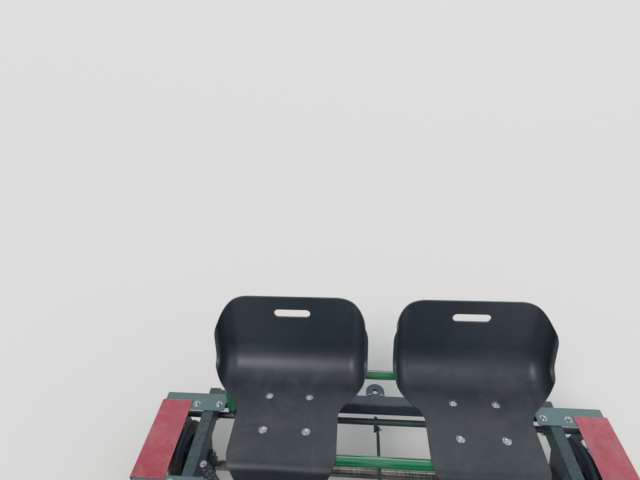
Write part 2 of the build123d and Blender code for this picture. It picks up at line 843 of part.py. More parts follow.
lever_length = sqrt(lever_top_lean**2 + (lever_top_z - brake_shaft_z) ** 2)
lever_way = (0, lever_top_lean / lever_length, (lever_top_z - brake_shaft_z) / lever_length)
with BuildPart() as brake_grip:
    base = lever_length + lever_tip_radius + brake_grip_cap - brake_grip_length
    origin = (0, lever_y + base * lever_way[1], brake_shaft_z + base * lever_way[2])
    with BuildSketch(Plane(origin=origin, x_dir=(1, 0, 0), z_dir=lever_way)) as round_end:
        Ellipse(brake_grip_radius - brake_grip_flat, brake_grip_radius)
    extrude(round_end.sketch, amount=brake_grip_length)
    fillet(brake_grip.edges().group_by(Axis.Z)[-1], radius=brake_grip_round)
    with BuildSketch(across(-lever_thickness / 2 - soft_gap, lever_y, brake_shaft_z)) as bar:
        tangent_loop((0, 0), lever_hub_radius + soft_gap, top, lever_tip_radius + soft_gap)
    extrude(bar.sketch, amount=lever_thickness + 2 * soft_gap, mode=Mode.SUBTRACT)
save(brake_grip.part, "brake_grip")

with BuildPart() as lever_bracket:
    member_face = pedal_member_y - member_half
    for side in sides.values():
        inner = side * (lever_thickness / 2 + rod_gap)
        start = min(inner, inner + side * bracket_cheek)
        with BuildSketch(across(start, 0, 0)) as outline:
            with BuildLine():
                Polyline(
                    (member_face, sill_bottom_z + bracket_edge),
                    (member_face, deck_z - bracket_top_step),
                    (member_face - bracket_top_step, deck_z - bracket_top_step),
                    (lever_y - bracket_eye_radius, brake_shaft_z),
                    (lever_y, brake_shaft_z - bracket_eye_radius),
                    (lever_y + bracket_eye_radius, brake_shaft_z),
                    close=True,
                )
            make_face()
        extrude(outline.sketch, amount=bracket_cheek)
    pin_half = lever_thickness / 2 + rod_gap + bracket_cheek + bracket_pin_proud
    rod_along_x(-pin_half, pin_half, lever_y, brake_shaft_z, brake_pin_radius)
save(lever_bracket.part, "lever_bracket")

with BuildPart() as brake_rod:
    for y in (lever_y, brake_shaft_y):
        rod_along_x(eye_x, eye_x + rod_eye_thickness, y, lever_pin_z, rod_eye_radius)
    mid_x = eye_x + rod_eye_thickness / 2
    start = Plane(origin=(mid_x, lever_y + rod_eye_radius / 2, lever_pin_z), z_dir=(0, 1, 0))
    with BuildSketch(start) as bar:
        Circle(rod_neck_radius)
    extrude(bar.sketch, amount=brake_shaft_y - lever_y - rod_eye_radius)
    start = Plane(origin=(mid_x, lever_y + rod_eye_radius, lever_pin_z), z_dir=(0, 1, 0))
    with BuildSketch(start.offset(rod_neck_length)) as bar:
        Circle(rod_radius)
    extrude(bar.sketch, amount=brake_shaft_y - lever_y - 2 * (rod_eye_radius + rod_neck_length))
    bore = brake_pin_radius + running_clearance
    for y in (lever_y, brake_shaft_y):
        rod_along_x(eye_x, eye_x + rod_eye_thickness, y, lever_pin_z, bore, Mode.SUBTRACT)
save(brake_rod.part, "brake_rod")

# The shoe touches the tread where its swing about the shaft points at the wheel's centre
wheel_y = axle_places["rear"]
to_shaft = Vector(brake_shaft_y - wheel_y, brake_shaft_z - axle_z)
shoe_turn = acos(tread_radius / to_shaft.length)
shoe_angle = atan2(to_shaft.Y, to_shaft.X) - shoe_turn
shoe_back = tread_radius + shoe_gap + shoe_depth
shoe_x = (flange_outer_x + tread_outer_x) / 2
half_angle = radians(shoe_half_angle)


def ring_sector(inner, outer, half, mode=Mode.ADD):
    """Draws a sector of a ring about the sketch's origin, centred on the shoe's direction."""
    ends = [shoe_angle - half, shoe_angle, shoe_angle + half]
    low = [(inner * cos(a), inner * sin(a)) for a in ends]
    high = [(outer * cos(a), outer * sin(a)) for a in ends]
    with BuildSketch(mode=Mode.PRIVATE) as sector:
        with BuildLine():
            ThreePointArc(*low)
            Line(low[2], high[2])
            ThreePointArc(high[2], high[1], high[0])
            Line(high[0], low[0])
        make_face()
    add(sector.sketch, mode=mode)


with BuildPart() as brake_shoes:
    for side in sides.values():
        with BuildSketch(across(side * shoe_x - shoe_width / 2, wheel_y, axle_z)) as block:
            ring_sector(tread_radius + shoe_gap, shoe_back, half_angle)
        extrude(block.sketch, amount=shoe_width)
save(brake_shoes.part, "brake_shoes")

with BuildPart() as brake_shaft:
    rod_along_x(
        -brake_shaft_end_x, brake_shaft_end_x, brake_shaft_y, brake_shaft_z, brake_shaft_radius
    )
    with BuildSketch(across(-lever_thickness / 2, brake_shaft_y, brake_shaft_z)) as bar:
        tangent_loop((0, 0), brake_shaft_radius + pin_rim, (0, -lever_arm), brake_pin_radius + pin_rim)
    extrude(bar.sketch, amount=lever_thickness)
    rod_along_x(0, pin_end, brake_shaft_y, lever_pin_z, brake_pin_radius)
    for side in sides.values():
        with BuildSketch(across(side * shoe_x - shoe_arm_thickness / 2, wheel_y, axle_z)) as arm:
            eye = shoe_back + shoe_arm_width / 2
            tangent_loop(
                (to_shaft.X, to_shaft.Y), shoe_arm_boss,
                (eye * cos(shoe_angle), eye * sin(shoe_angle)), shoe_arm_width / 2,
            )
            low = tread_radius - shoe_cut_depth
            ring_sector(low, shoe_back, half_angle + shoe_cut_slack, Mode.SUBTRACT)
        extrude(arm.sketch, amount=shoe_arm_thickness)
save(brake_shaft.part, "brake_shaft")

with BuildPart() as brake_lugs:
    for side in sides.values():
        start = side * sill_x - brake_lug_thickness / 2
        with BuildSketch(across(start, brake_shaft_y, brake_shaft_z)) as lug:
            Circle(brake_lug_radius)
            with Locations((0, (sill_bottom_z - brake_shaft_z) / 2)):
                Rectangle(2 * brake_lug_radius, sill_bottom_z - brake_shaft_z)
            Circle(brake_shaft_radius + running_clearance, mode=Mode.SUBTRACT)
        extrude(lug.sketch, amount=brake_lug_thickness)
        above = Plane.XY.offset(sill_bottom_z)
        with BuildSketch(above) as cut:
            with Locations((side * sill_x, brake_shaft_y)):
                Rectangle(4 * brake_lug_radius, 4 * brake_lug_radius)
        extrude(cut.sketch, amount=2 * brake_lug_radius, mode=Mode.SUBTRACT)
save(brake_lugs.part, "brake_lugs")

# Rubber buffers and coupling lugs at both ends
with BuildPart() as buffers:
    for end in sides.values():
        for side in sides.values():
            origin = (side * buffer_x, end * chassis_length / 2, tube_mid_z)
            face = Plane(origin=origin, x_dir=(1, 0, 0), z_dir=(0, end, 0))
            with BuildSketch(face) as base:
                Circle(buffer_radius)
            with BuildSketch(face.offset(buffer_length)) as tip:
                Circle(buffer_tip_radius)
            loft([base.sketch, tip.sketch])
save(buffers.part, "buffers")

with BuildPart() as coupling_lugs:
    hole_y = chassis_length / 2 + coupling_reach - coupling_width / 2
    for end in sides.values():
        with BuildSketch(Plane.XY.offset(tube_mid_z - coupling_thickness / 2)) as outline:
            with Locations((0, end * (chassis_length / 2 + hole_y) / 2)):
                Rectangle(coupling_width, hole_y - chassis_length / 2)
            with Locations((0, end * hole_y)):
                Circle(coupling_width / 2)
                Circle(coupling_hole_radius, mode=Mode.SUBTRACT)
        extrude(outline.sketch, amount=coupling_thickness)
save(coupling_lugs.part, "coupling_lugs")
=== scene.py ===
import json
import random
from math import acos, atan2, cos, pi, radians, sin, sqrt

import bmesh
import bpy
from mathutils import Matrix, Vector
from mathutils.bvhtree import BVHTree


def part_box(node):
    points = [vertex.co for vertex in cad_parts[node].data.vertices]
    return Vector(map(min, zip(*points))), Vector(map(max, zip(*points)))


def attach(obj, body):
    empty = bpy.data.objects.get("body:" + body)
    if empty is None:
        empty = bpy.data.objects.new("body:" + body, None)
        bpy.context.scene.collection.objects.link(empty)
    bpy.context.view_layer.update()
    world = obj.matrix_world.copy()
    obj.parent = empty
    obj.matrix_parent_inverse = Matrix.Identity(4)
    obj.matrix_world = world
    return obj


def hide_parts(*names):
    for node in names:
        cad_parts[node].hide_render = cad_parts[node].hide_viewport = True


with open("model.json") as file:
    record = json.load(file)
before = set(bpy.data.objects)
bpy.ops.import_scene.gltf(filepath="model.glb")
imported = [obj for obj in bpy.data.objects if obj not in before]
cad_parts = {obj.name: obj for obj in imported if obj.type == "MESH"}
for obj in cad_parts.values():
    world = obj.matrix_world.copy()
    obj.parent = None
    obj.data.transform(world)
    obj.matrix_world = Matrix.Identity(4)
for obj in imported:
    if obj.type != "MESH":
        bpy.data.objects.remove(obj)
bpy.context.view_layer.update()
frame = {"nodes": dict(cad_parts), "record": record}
nodes = frame["nodes"]
random.seed(7)

# A four-seat pedal railway handcar: looks, small parts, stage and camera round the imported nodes

# Measures in metres: X runs across, Y from the front to the rear, Z up from the flanges' lowest point
BOTH = (-1, 1)
SIDES = {"left": 1, "right": -1}
AXLE_Y = 0.616
AXLES = (-AXLE_Y, AXLE_Y)
AXLE_Z = 0.15
TREAD_RADIUS = 0.125
FLANGE_OUTER_X = 0.71
TREAD_OUTER_X = 0.785
SILL_X = 0.618
MEMBER_HALF = 0.022
MEMBER_TOP = 0.32
MEMBER_BOTTOM = 0.26
MEMBER_Z = (MEMBER_TOP + MEMBER_BOTTOM) / 2
SILL_INNER_X = SILL_X - MEMBER_HALF
CHASSIS_HALF = 0.82
FRONT_MEMBER = -0.798
BOOM_MEMBER = -0.22
TRAY_MEMBER = 0.15
SEAT_MEMBER = 0.42
REAR_MEMBER = 0.798
MEMBERS = (FRONT_MEMBER, BOOM_MEMBER, TRAY_MEMBER, SEAT_MEMBER, REAR_MEMBER)
HANGER_HALF = 0.005
FRAME_RADIUS = 0.0155
SEAT_TUBE_Z = 0.51
SEAT_BARS = (-0.355, -0.225, 0.225, 0.355)
# Where the legs of each row's front and rear hoop stand
SEAT_ROWS = {"front": (-0.1825, 0.1125), "rear": (0.4575, 0.7605)}
CRANK_X = 0.3
CRANK_Y = -0.55
CRANK_Z = 0.4
# Middles of the two sprockets, along and up
CHAINRING = (CRANK_Y, CRANK_Z)
FREEWHEEL = (-AXLE_Y, AXLE_Z)
CHAIN_LINE = 0.0425
CHAIN_PITCH = 0.0127
CHAINRING_TEETH = 48
FREEWHEEL_TEETH = 18
BRAKE_SHAFT_Y = 0.762
LEVER_Y = -0.277
BRAKE_PIVOT_Z = 0.24
BRAKE_ROD_Z = 0.195
ROD_NUT_X = 0.017

# Colours that several materials share
BARE_METAL = (0.32, 0.31, 0.3)
ROAD_DUST = (0.36, 0.32, 0.27)
RUST = (0.16, 0.06, 0.025)

# Numbers of the Mix node's sockets: the share, then first value, second value and result of each kind
MIX_SHARE = 0
MIX_COLORS = (6, 7, 2)
MIX_NUMBERS = (2, 3, 0)


# Materials
def put(node, **values):
    """Writes numbers or colours on a node's sockets, by their names."""
    for key, value in values.items():
        node.inputs[key].default_value = value


class Shader:
    """A material under construction: short calls that add nodes and join them."""

    def __init__(self, name):
        self.material = bpy.data.materials.new(name)
        self.material.use_nodes = True
        self.tree = self.material.node_tree
        self.tree.nodes.clear()
        output = self.add("ShaderNodeOutputMaterial")
        self.surface = self.add("ShaderNodeBsdfPrincipled")
        self.link(self.surface.outputs["BSDF"], output.inputs["Surface"])
        self.place = self.add("ShaderNodeTexCoord")

    def add(self, kind, **settings):
        node = self.tree.nodes.new(kind)
        for key, value in settings.items():
            setattr(node, key, value)
        return node

    def link(self, source, target):
        self.tree.links.new(source, target)

    def feed(self, socket, value):
        """Joins another node's output to a socket, or writes a number or a colour on it."""
        if isinstance(value, bpy.types.NodeSocket):
            self.link(value, socket)
        elif isinstance(value, tuple):
            socket.default_value = (*value, 1.0)
        else:
            socket.default_value = value

    def texture(self, kind, scale, stretch=None):
        """A texture in the object's own space, which stretch draws out along an axis."""
        node = self.add(kind)
        source = self.place.outputs["Object"]
        if stretch:
            mapping = self.add("ShaderNodeMapping")
            self.link(source, mapping.inputs["Vector"])
            put(mapping, Scale=stretch)
            source = mapping.outputs["Vector"]
        self.link(source, node.inputs["Vector"])
        put(node, Scale=scale)
        return node

    def noise(self, scale, detail=4.0, rough=0.55, bend=0.0, stretch=None):
        node = self.texture("ShaderNodeTexNoise", scale, stretch)
        put(node, Detail=detail, Roughness=rough, Distortion=bend)
        return node.outputs["Fac"]

    def cells(self, scale, output):
        return self.texture("ShaderNodeTexVoronoi", scale).outputs[output]

    def math(self, operation, first, second=0.0, clamp=False):
        node = self.add("ShaderNodeMath", operation=operation, use_clamp=clamp)
        self.feed(node.inputs[0], first)
        self.feed(node.inputs[1], second)
        return node.outputs[0]

    def times(self, first, second):
        return self.math("MULTIPLY", first, second)

    def ramp(self, value, low, high, start=0.0, end=1.0):
        """A smooth step from start, where the value is low, to end, where it is high."""
        node = self.add("ShaderNodeMapRange", interpolation_type="SMOOTHSTEP")
        sockets = ("Value", "From Min", "From Max", "To Min", "To Max")
        for socket, number in zip(sockets, (value, low, high, start, end)):
            self.feed(node.inputs[socket], number)
        return node.outputs["Result"]

    def mixed(self, kind, sockets, share, first, second):
        node = self.add("ShaderNodeMix", data_type=kind)
        first_socket, second_socket, result = sockets
        self.feed(node.inputs[MIX_SHARE], share)
        self.feed(node.inputs[first_socket], first)
        self.feed(node.inputs[second_socket], second)
        return node.outputs[result]

    def mix(self, share, first, second):
        """Between two colours."""
        return self.mixed("RGBA", MIX_COLORS, share, first, second)

    def blend(self, share, first, second):
        """Between two numbers."""
        return self.mixed("FLOAT", MIX_NUMBERS, share, first, second)

    def component(self, coordinates, letter):
        node = self.add("ShaderNodeSeparateXYZ")
        self.link(self.place.outputs[coordinates], node.inputs[0])
        return node.outputs[letter]

    def lying_dust(self, slope, patches, share):
        """Dust in patches on what faces up, from slope on, which is the normal's upward part."""
        lying = self.ramp(self.component("Normal", "Z"), slope, 0.98)
        return self.times(self.times(lying, patches), share)

    def bevel(self, radius):
        """The surface's direction as if its edges were rounded."""
        node = self.add("ShaderNodeBevel", samples=4)
        put(node, Radius=radius)
        return node.outputs["Normal"]

    def edges(self, radius):
        """1 on sharp edges, 0 on flat faces."""
        geometry = self.add("ShaderNodeNewGeometry")
        dot = self.add("ShaderNodeVectorMath", operation="DOT_PRODUCT")
        self.link(self.bevel(radius), dot.inputs[0])
        self.link(geometry.outputs["Normal"], dot.inputs[1])
        return self.ramp(dot.outputs["Value"], 0.99, 0.86)

    def relief(self, height, depth, strength, round_edges):
        """A fine relief on the surface, and edges that catch the light as rounded ones do."""
        node = self.add("ShaderNodeBump")
        put(node, Strength=strength, Distance=depth)
        self.link(height, node.inputs["Height"])
        self.link(self.bevel(round_edges), node.inputs["Normal"])
        self.link(node.outputs["Normal"], self.surface.inputs["Normal"])

    def coated(self, weight, rough):
        self.feed(self.surface.inputs["Coat Weight"], weight)
        self.feed(self.surface.inputs["Coat Roughness"], rough)

    def finished(self, color, metal, rough):
        self.feed(self.surface.inputs["Base Color"], color)
        self.feed(self.surface.inputs["Metallic"], metal)
        self.feed(self.surface.inputs["Roughness"], rough)
        return self.material


def scaled(color, share):
    """A colour made darker or brighter, up to white."""
    return tuple(min(1.0, part * share) for part in color)


def painted(name, base, bright, rough, wear, dust, rust, coat=0.0,
            under=BARE_METAL, dust_color=ROAD_DUST, grain=0.00025, edge=0.0025):
    """Paint over metal: uneven colour, chipped edges, rust specks and dust on what faces up."""
    look = Shader(name)
    cloud = look.noise(scale=5.0, detail=5.0, rough=0.6)
    fine = look.noise(scale=90.0, detail=4.0, rough=0.6)
    streak = look.noise(scale=24.0, detail=5.0, rough=0.65, bend=0.4, stretch=(1.0, 1.0, 0.25))
    color = look.mix(look.ramp(cloud, 0.3, 0.7), base, bright)
    color = look.mix(look.ramp(streak, 0.5, 0.75, end=0.25), color, scaled(base, 0.55))

    chips = look.math("MULTIPLY", look.edges(edge), look.ramp(fine, 0.42, 0.6), clamp=True)
    chips = look.times(chips, wear)
    pits = look.ramp(look.noise(scale=46.0, detail=6.0, rough=0.7), 0.7, 0.76)
    rusty = look.times(pits, rust)
    color = look.mix(chips, color, under)
    color = look.mix(rusty, color, RUST)

    patches = look.ramp(look.noise(scale=14.0, detail=6.0, rough=0.7, bend=0.6), 0.36, 0.72)
    dusty = look.lying_dust(0.55, patches, dust)
    color = look.mix(dusty, color, dust_color)

    roughness = look.blend(look.ramp(fine, 0.3, 0.75), rough * 0.8, rough * 1.25)
    roughness = look.blend(dusty, roughness, 0.85)
    roughness = look.blend(rusty, roughness, 0.8)
    look.relief(look.blend(chips, fine, -0.4), depth=grain, strength=0.7, round_edges=0.0016)
    if coat:
        look.coated(coat, rough=0.08)
    return look.finished(color, look.times(chips, 0.8), roughness)


def galvanised(name, base, bright, rough, metal, dirt):
    """Hot-dip zinc: angular spangle, dull bloom, grime, scratches and bright edges."""
    look = Shader(name)
    spangle = look.add("ShaderNodeSeparateColor")
    look.link(look.cells(120.0, "Color"), spangle.inputs[0])
    shade = spangle.outputs[0]
    bloom = look.noise(scale=9.0, detail=6.0, rough=0.65, bend=0.5)
    color = look.mix(look.ramp(shade, 0.1, 0.9), base, bright)
    color = look.mix(look.ramp(bloom, 0.5, 0.72, end=0.55), color, scaled(base, 1.35))

    grime = look.ramp(look.noise(scale=17.0, detail=7.0, rough=0.75, bend=1.0), 0.55, 0.74)
    grime = look.times(grime, dirt)
    color = look.mix(grime, color, (0.09, 0.075, 0.06))
    lines = look.noise(scale=60.0, detail=3.0, rough=0.5, stretch=(0.12, 1.0, 1.0))
    color = look.mix(look.ramp(lines, 0.6, 0.66, end=0.25), color, scaled(bright, 1.6))
    color = look.mix(look.times(look.edges(0.002), 0.45), color, scaled(bright, 1.5))

    roughness = look.blend(shade, rough - 0.1, rough + 0.1)
    roughness = look.blend(grime, roughness, 0.85)
    height = look.blend(0.4, shade, look.noise(scale=210.0, detail=3.0))
    look.relief(height, depth=0.00018, strength=0.6, round_edges=0.0014)
    metallic = look.math("SUBTRACT", metal, look.times(grime, 0.6), clamp=True)
    return look.finished(color, metallic, roughness)


def moulded(name, base, scuffed, grain_scale, rough, dust):
    """Moulded plastic or rubber: a fine pebbled grain, scuffs and dust."""
    look = Shader(name)
    pebbles = look.cells(grain_scale, "Distance")
    cloud = look.noise(scale=7.0, detail=5.0, rough=0.6)
    color = look.mix(look.ramp(cloud, 0.3, 0.75), base, scaled(base, 1.35))
    scuffs = look.noise(scale=33.0, detail=8.0, rough=0.72, bend=1.4, stretch=(1.0, 0.35, 1.0))
    worn = look.ramp(scuffs, 0.58, 0.72, end=0.5)
    color = look.mix(worn, color, scuffed)
    color = look.mix(look.times(look.edges(0.003), 0.5), color, scuffed)

    patches = look.ramp(look.noise(scale=11.0, detail=7.0, rough=0.7, bend=0.8), 0.4, 0.75)
    dusty = look.lying_dust(0.5, patches, dust)
    color = look.mix(dusty, color, (0.26, 0.24, 0.21))
    roughness = look.blend(worn, rough, rough + 0.25)
    roughness = look.blend(dusty, roughness, 0.9)
    height = look.blend(0.35, pebbles, look.noise(scale=140.0, detail=4.0))
    look.relief(height, depth=0.0002, strength=0.8, round_edges=0.002)
    return look.finished(color, 0.0, roughness)


def wheel_radius(look):
    """How far a point lies from its axle, of either pair of wheels."""
    along = look.math("SUBTRACT", look.math("ABSOLUTE", look.component("Object", "Y")), AXLE_Y)
    up = look.math("SUBTRACT", look.component("Object", "Z"), AXLE_Z)
    square = look.math("ADD", look.times(along, along), look.times(up, up))
    return look.math("SQRT", square)


def polished_tread(look, patches):
    """Where the rail keeps a wheel bright: the tread, and the throat between it and the flange."""
    across = look.math("ABSOLUTE", look.component("Object", "X"))
    radius = wheel_radius(look)
    inner = look.ramp(across, FLANGE_OUTER_X - 0.004, FLANGE_OUTER_X + 0.004)
    outer = look.ramp(across, TREAD_OUTER_X - 0.001, TREAD_OUTER_X - 0.013)
    rim = look.ramp(radius, TREAD_RADIUS - 0.009, TREAD_RADIUS - 0.0055)
    running = look.times(look.times(inner, outer), rim)
    beside = look.ramp(across, FLANGE_OUTER_X - 0.006, FLANGE_OUTER_X - 0.0025)
    throat = look.times(beside, look.ramp(radius, TREAD_RADIUS - 0.0025, TREAD_RADIUS))
    bright = look.math("MAXIMUM", running, look.times(throat, 0.7))
    return look.times(bright, look.ramp(patches, 0.28, 0.4, start=0.55))


def rusty_wheel(name):
    """Cast steel wheels: worn dark paint over rust and scale, with a bright band on the tread."""
    look = Shader(name)
    patches = look.noise(scale=26.0, detail=8.0, rough=0.7, bend=0.8)
    bright = polished_tread(look, patches)
    scale = look.noise(scale=160.0, detail=6.0, rough=0.7)
    rust = look.mix(look.ramp(patches, 0.3, 0.7), (0.07, 0.032, 0.018), (0.2, 0.085, 0.038))
    rust = look.mix(look.ramp(scale, 0.5, 0.75, end=0.6), rust, (0.27, 0.13, 0.06))

    paint = look.ramp(look.noise(scale=9.0, detail=7.0, rough=0.75, bend=0.9), 0.36, 0.46)
    paint = look.times(paint, look.ramp(look.edges(0.004), 0.2, 0.8, start=1.0, end=0.35))
    tone = look.ramp(look.noise(scale=40.0, detail=5.0), 0.35, 0.7)
    coat = look.mix(tone, (0.011, 0.031, 0.045), (0.02, 0.046, 0.06))
    body = look.mix(paint, rust, coat)

    ring = look.noise(scale=500.0, detail=3.0, rough=0.5, stretch=(1.0, 0.02, 0.02))
    steel = look.mix(look.ramp(ring, 0.35, 0.65), (0.25, 0.245, 0.24), (0.4, 0.39, 0.38))
    color = look.mix(bright, body, steel)
    roughness = look.blend(bright, look.blend(paint, 0.85, 0.6), 0.24)
    height = look.blend(bright, look.blend(0.5, scale, patches), look.times(ring, 0.1))
    look.relief(height, depth=0.0009, strength=0.8, round_edges=0.0022)
    return look.finished(color, look.blend(bright, 0.12, 1.0), roughness)


def turned_steel(name, base, bright, rough, oil, rust):
    """Turned or rolled bar: fine rings across X, oil film and rust bloom."""
    look = Shader(name)
    rings = look.noise(scale=900.0, detail=2.0, rough=0.5, stretch=(1.0, 0.03, 0.03))
    patches = look.noise(scale=19.0, detail=7.0, rough=0.7, bend=0.9)
    color = look.mix(look.ramp(rings, 0.3, 0.7), base, bright)
    oiled = look.ramp(look.noise(scale=12.0, detail=4.0), 0.45, 0.65, end=oil)
    color = look.mix(oiled, color, scaled(base, 0.35))
    rusted = look.ramp(patches, 0.54, 0.68, end=rust)
    color = look.mix(rusted, color, (0.17, 0.075, 0.035))

    roughness = look.blend(look.ramp(rings, 0.3, 0.7), rough - 0.06, rough + 0.08)
    roughness = look.blend(rusted, roughness, 0.8)
    height = look.blend(rusted, rings, patches)
    look.relief(height, depth=0.0002, strength=0.6, round_edges=0.0012)
    return look.finished(color, look.blend(rusted, 1.0, 0.25), roughness)


def brushed_alloy(name):
    """Brushed aluminium, dulled in patches and bright on its edges."""
    look = Shader(name)
    grain = look.noise(scale=420.0, detail=3.0, rough=0.5, stretch=(1.0, 0.06, 1.0))
    dull = look.noise(scale=22.0, detail=6.0, rough=0.7, bend=0.6)
    color = look.mix(look.ramp(grain, 0.3, 0.7), (0.42, 0.43, 0.44), (0.6, 0.61, 0.62))
    color = look.mix(look.ramp(dull, 0.55, 0.75, end=0.5), color, (0.16, 0.15, 0.14))
    color = look.mix(look.times(look.edges(0.002), 0.5), color, (0.75, 0.75, 0.76))
    roughness = look.blend(look.ramp(dull, 0.4, 0.7), 0.28, 0.5)
    look.relief(grain, depth=0.00012, strength=0.6, round_edges=0.002)
    return look.finished(color, 0.95, roughness)


def brake_wood(name):
    """Wooden blocks: year rings, open pores and brake dirt."""
    look = Shader(name)
    wave = look.texture("ShaderNodeTexWave", 120.0, stretch=(0.3, 1.0, 1.0))
    wave.wave_type = "RINGS"
    wave.rings_direction = "X"
    put(wave, Distortion=5.0, Detail=3.0)
    rings = wave.outputs["Fac"]
    pores = look.noise(scale=260.0, detail=4.0, rough=0.6, stretch=(0.1, 1.0, 1.0))
    color = look.mix(rings, (0.16, 0.095, 0.05), (0.3, 0.19, 0.1))
    color = look.mix(look.ramp(pores, 0.56, 0.7, end=0.7), color, (0.05, 0.032, 0.02))
    grime = look.ramp(look.noise(scale=30.0, detail=6.0, rough=0.7), 0.45, 0.7, end=0.6)
    color = look.mix(grime, color, (0.05, 0.045, 0.04))
    look.relief(look.blend(0.5, rings, pores), depth=0.0005, strength=0.7, round_edges=0.0015)
    return look.finished(color, 0.0, 0.75)


LOOKS = {
    "galvanised_steel": galvanised(
        "zinc_coat", (0.044, 0.07, 0.08), (0.066, 0.098, 0.108), rough=0.5, metal=0.5, dirt=0.5),
    "green_paint": painted(
        "green_tube_paint", (0.004, 0.165, 0.066), (0.008, 0.225, 0.092),
        rough=0.13, wear=0.6, dust=0.04, rust=0.2, coat=0.9, grain=0.00004),
    "plate_paint": painted(
        "deck_plate_paint", (0.08, 0.155, 0.163), (0.115, 0.2, 0.208),
        rough=0.42, wear=0.8, dust=0.35, rust=0.6, dust_color=(0.2, 0.24, 0.23)),
    "red_paint": painted(
        "red_guard_paint", (0.36, 0.052, 0.08), (0.45, 0.085, 0.12), rough=0.45, wear=0.95, dust=0.5,
        rust=0.5, under=(0.46, 0.4, 0.34), dust_color=(0.47, 0.25, 0.27), edge=0.005),
    "tray_paint": painted(
        "foot_tray_paint", (0.03, 0.055, 0.068), (0.055, 0.085, 0.1),
        rough=0.5, wear=1.0, dust=0.6, rust=0.8),
    "seat_plastic": moulded(
        "moulded_seat", (0.019, 0.03, 0.041), (0.06, 0.08, 0.092), grain_scale=900.0, rough=0.38, dust=0.14),
    "wheel_steel": rusty_wheel("wheel_rust"),
    "axle_steel": turned_steel(
        "axle_bar", (0.2, 0.195, 0.19), (0.34, 0.33, 0.32), rough=0.3, oil=0.5, rust=0.9),
    "bearing_iron": painted(
        "bearing_paint", (0.03, 0.045, 0.055), (0.05, 0.07, 0.08), rough=0.5, wear=0.9, dust=0.6, rust=0.9),
    "drive_steel": turned_steel(
        "oiled_drive", (0.1, 0.09, 0.08), (0.22, 0.2, 0.18), rough=0.34, oil=0.8, rust=0.6),
    "crank_alloy": brushed_alloy("crank_alloy"),
    "black_plastic": moulded(
        "black_moulding", (0.012, 0.012, 0.013), (0.06, 0.06, 0.06),
        grain_scale=700.0, rough=0.45, dust=0.35),
    "black_rubber": moulded(
        "black_rubber", (0.014, 0.014, 0.015), (0.06, 0.058, 0.055), grain_scale=500.0, rough=0.65, dust=0.5),
    "brake_block": brake_wood("brake_wood"),
    "bolt_zinc": galvanised(
        "bolt_zinc", (0.3, 0.34, 0.36), (0.44, 0.49, 0.51), rough=0.3, metal=0.9, dirt=0.2),
    # Two zinc colours for the corner braces: a much darker one for the strip, and a lighter one for its
    # lozenges
    "light_lozenge_zinc": galvanised(
        "light_lozenge_zinc", (0.075, 0.105, 0.125), (0.1, 0.135, 0.155), rough=0.4, metal=0.6, dirt=0.1),
    "dark_brace_zinc": galvanised(
        "dark_brace_zinc", (0.016, 0.026, 0.033), (0.03, 0.044, 0.053), rough=0.55, metal=0.5, dirt=0.6),
    "weld": turned_steel(
        "weld_bead", (0.12, 0.125, 0.13), (0.24, 0.25, 0.25), rough=0.4, oil=0.3, rust=0.4),
}


def dress_nodes():
    """Gives each CAD node the material of its slot."""
    slots = {part["node"]: part["material_slot"] for part in frame["record"]["subparts"]}
    # The braces are much darker than the rest of the zinc, and the lozenges that are laid on them are lighter
    slots["corner_braces"] = "dark_brace_zinc"
    for name, node in nodes.items():
        node.data.materials.clear()
        node.data.materials.append(LOOKS[slots[name]])


# Shapes that the small parts are made of. A profile is a list of (distance along the axis, radius)
# A bolt's proportions, as shares of its width across the flats
WASHER_RISE = 0.14
WASHER_CHAMFER = 0.95
HEAD_RISE = 0.62
HEAD_CHAMFER = 0.11
THREAD_RADIUS = 0.33
THREAD_TIP = 0.26
# Shares of the washer's rise, the head's radius and the thread end's length
WASHER_SHOULDER = 0.7
HEAD_CROWN = 0.84
THREAD_SHOULDER = 0.8
# How far a part reaches into what it sits on
SINK = 0.0004
HEAD_SINK = 0.0002
THREAD_SINK = 0.001
# Widths across the flats
BOLT = 0.013
SMALL_BOLT = 0.011
WELD_STEP = 0.0032
WELD_CORNERS = 6
# A weld ripple's radius and how far its centre strays, as shares of the bead's radius
RIPPLE_LOW = 0.82
RIPPLE_SWELL = 0.2
RIPPLE_UNEVEN = (-0.05, 0.09)
RIPPLE_WANDER = 0.12
CIRCLE_CORNERS = 16


def axes_round(normal):
    """The normal with length 1, and two directions across it."""
    normal = Vector(normal).normalized()
    side = normal.orthogonal().normalized()
    return normal, side, normal.cross(side)


def ring_of(centre, side, other, radius, count, turn=0.0):
    """Points on a circle in the plane of two directions."""
    points = []
    for number in range(count):
        angle = turn + 2 * pi * number / count
        points.append(centre + (side * cos(angle) + other * sin(angle)) * radius)
    return points


def wall(mesh, low, high):
    """Faces between two rings with the same number of corners."""
    for number, corner in enumerate(low):
        after = (number + 1) % len(low)
        mesh.faces.new((corner, low[after], high[after], high[number]))


def lathe(mesh, centre, normal, profile, segments=24, turn=0.0):
    """Turns a profile round the normal into a closed solid."""
    normal, side, other = axes_round(normal)
    rings = []
    for along, radius in profile:
        points = ring_of(Vector(centre) + normal * along, side, other, radius, segments, turn)
        rings.append([mesh.verts.new(point) for point in points])
    for low, high in zip(rings, rings[1:]):
        wall(mesh, low, high)
    mesh.faces.new(list(reversed(rings[0])))
    mesh.faces.new(rings[-1])


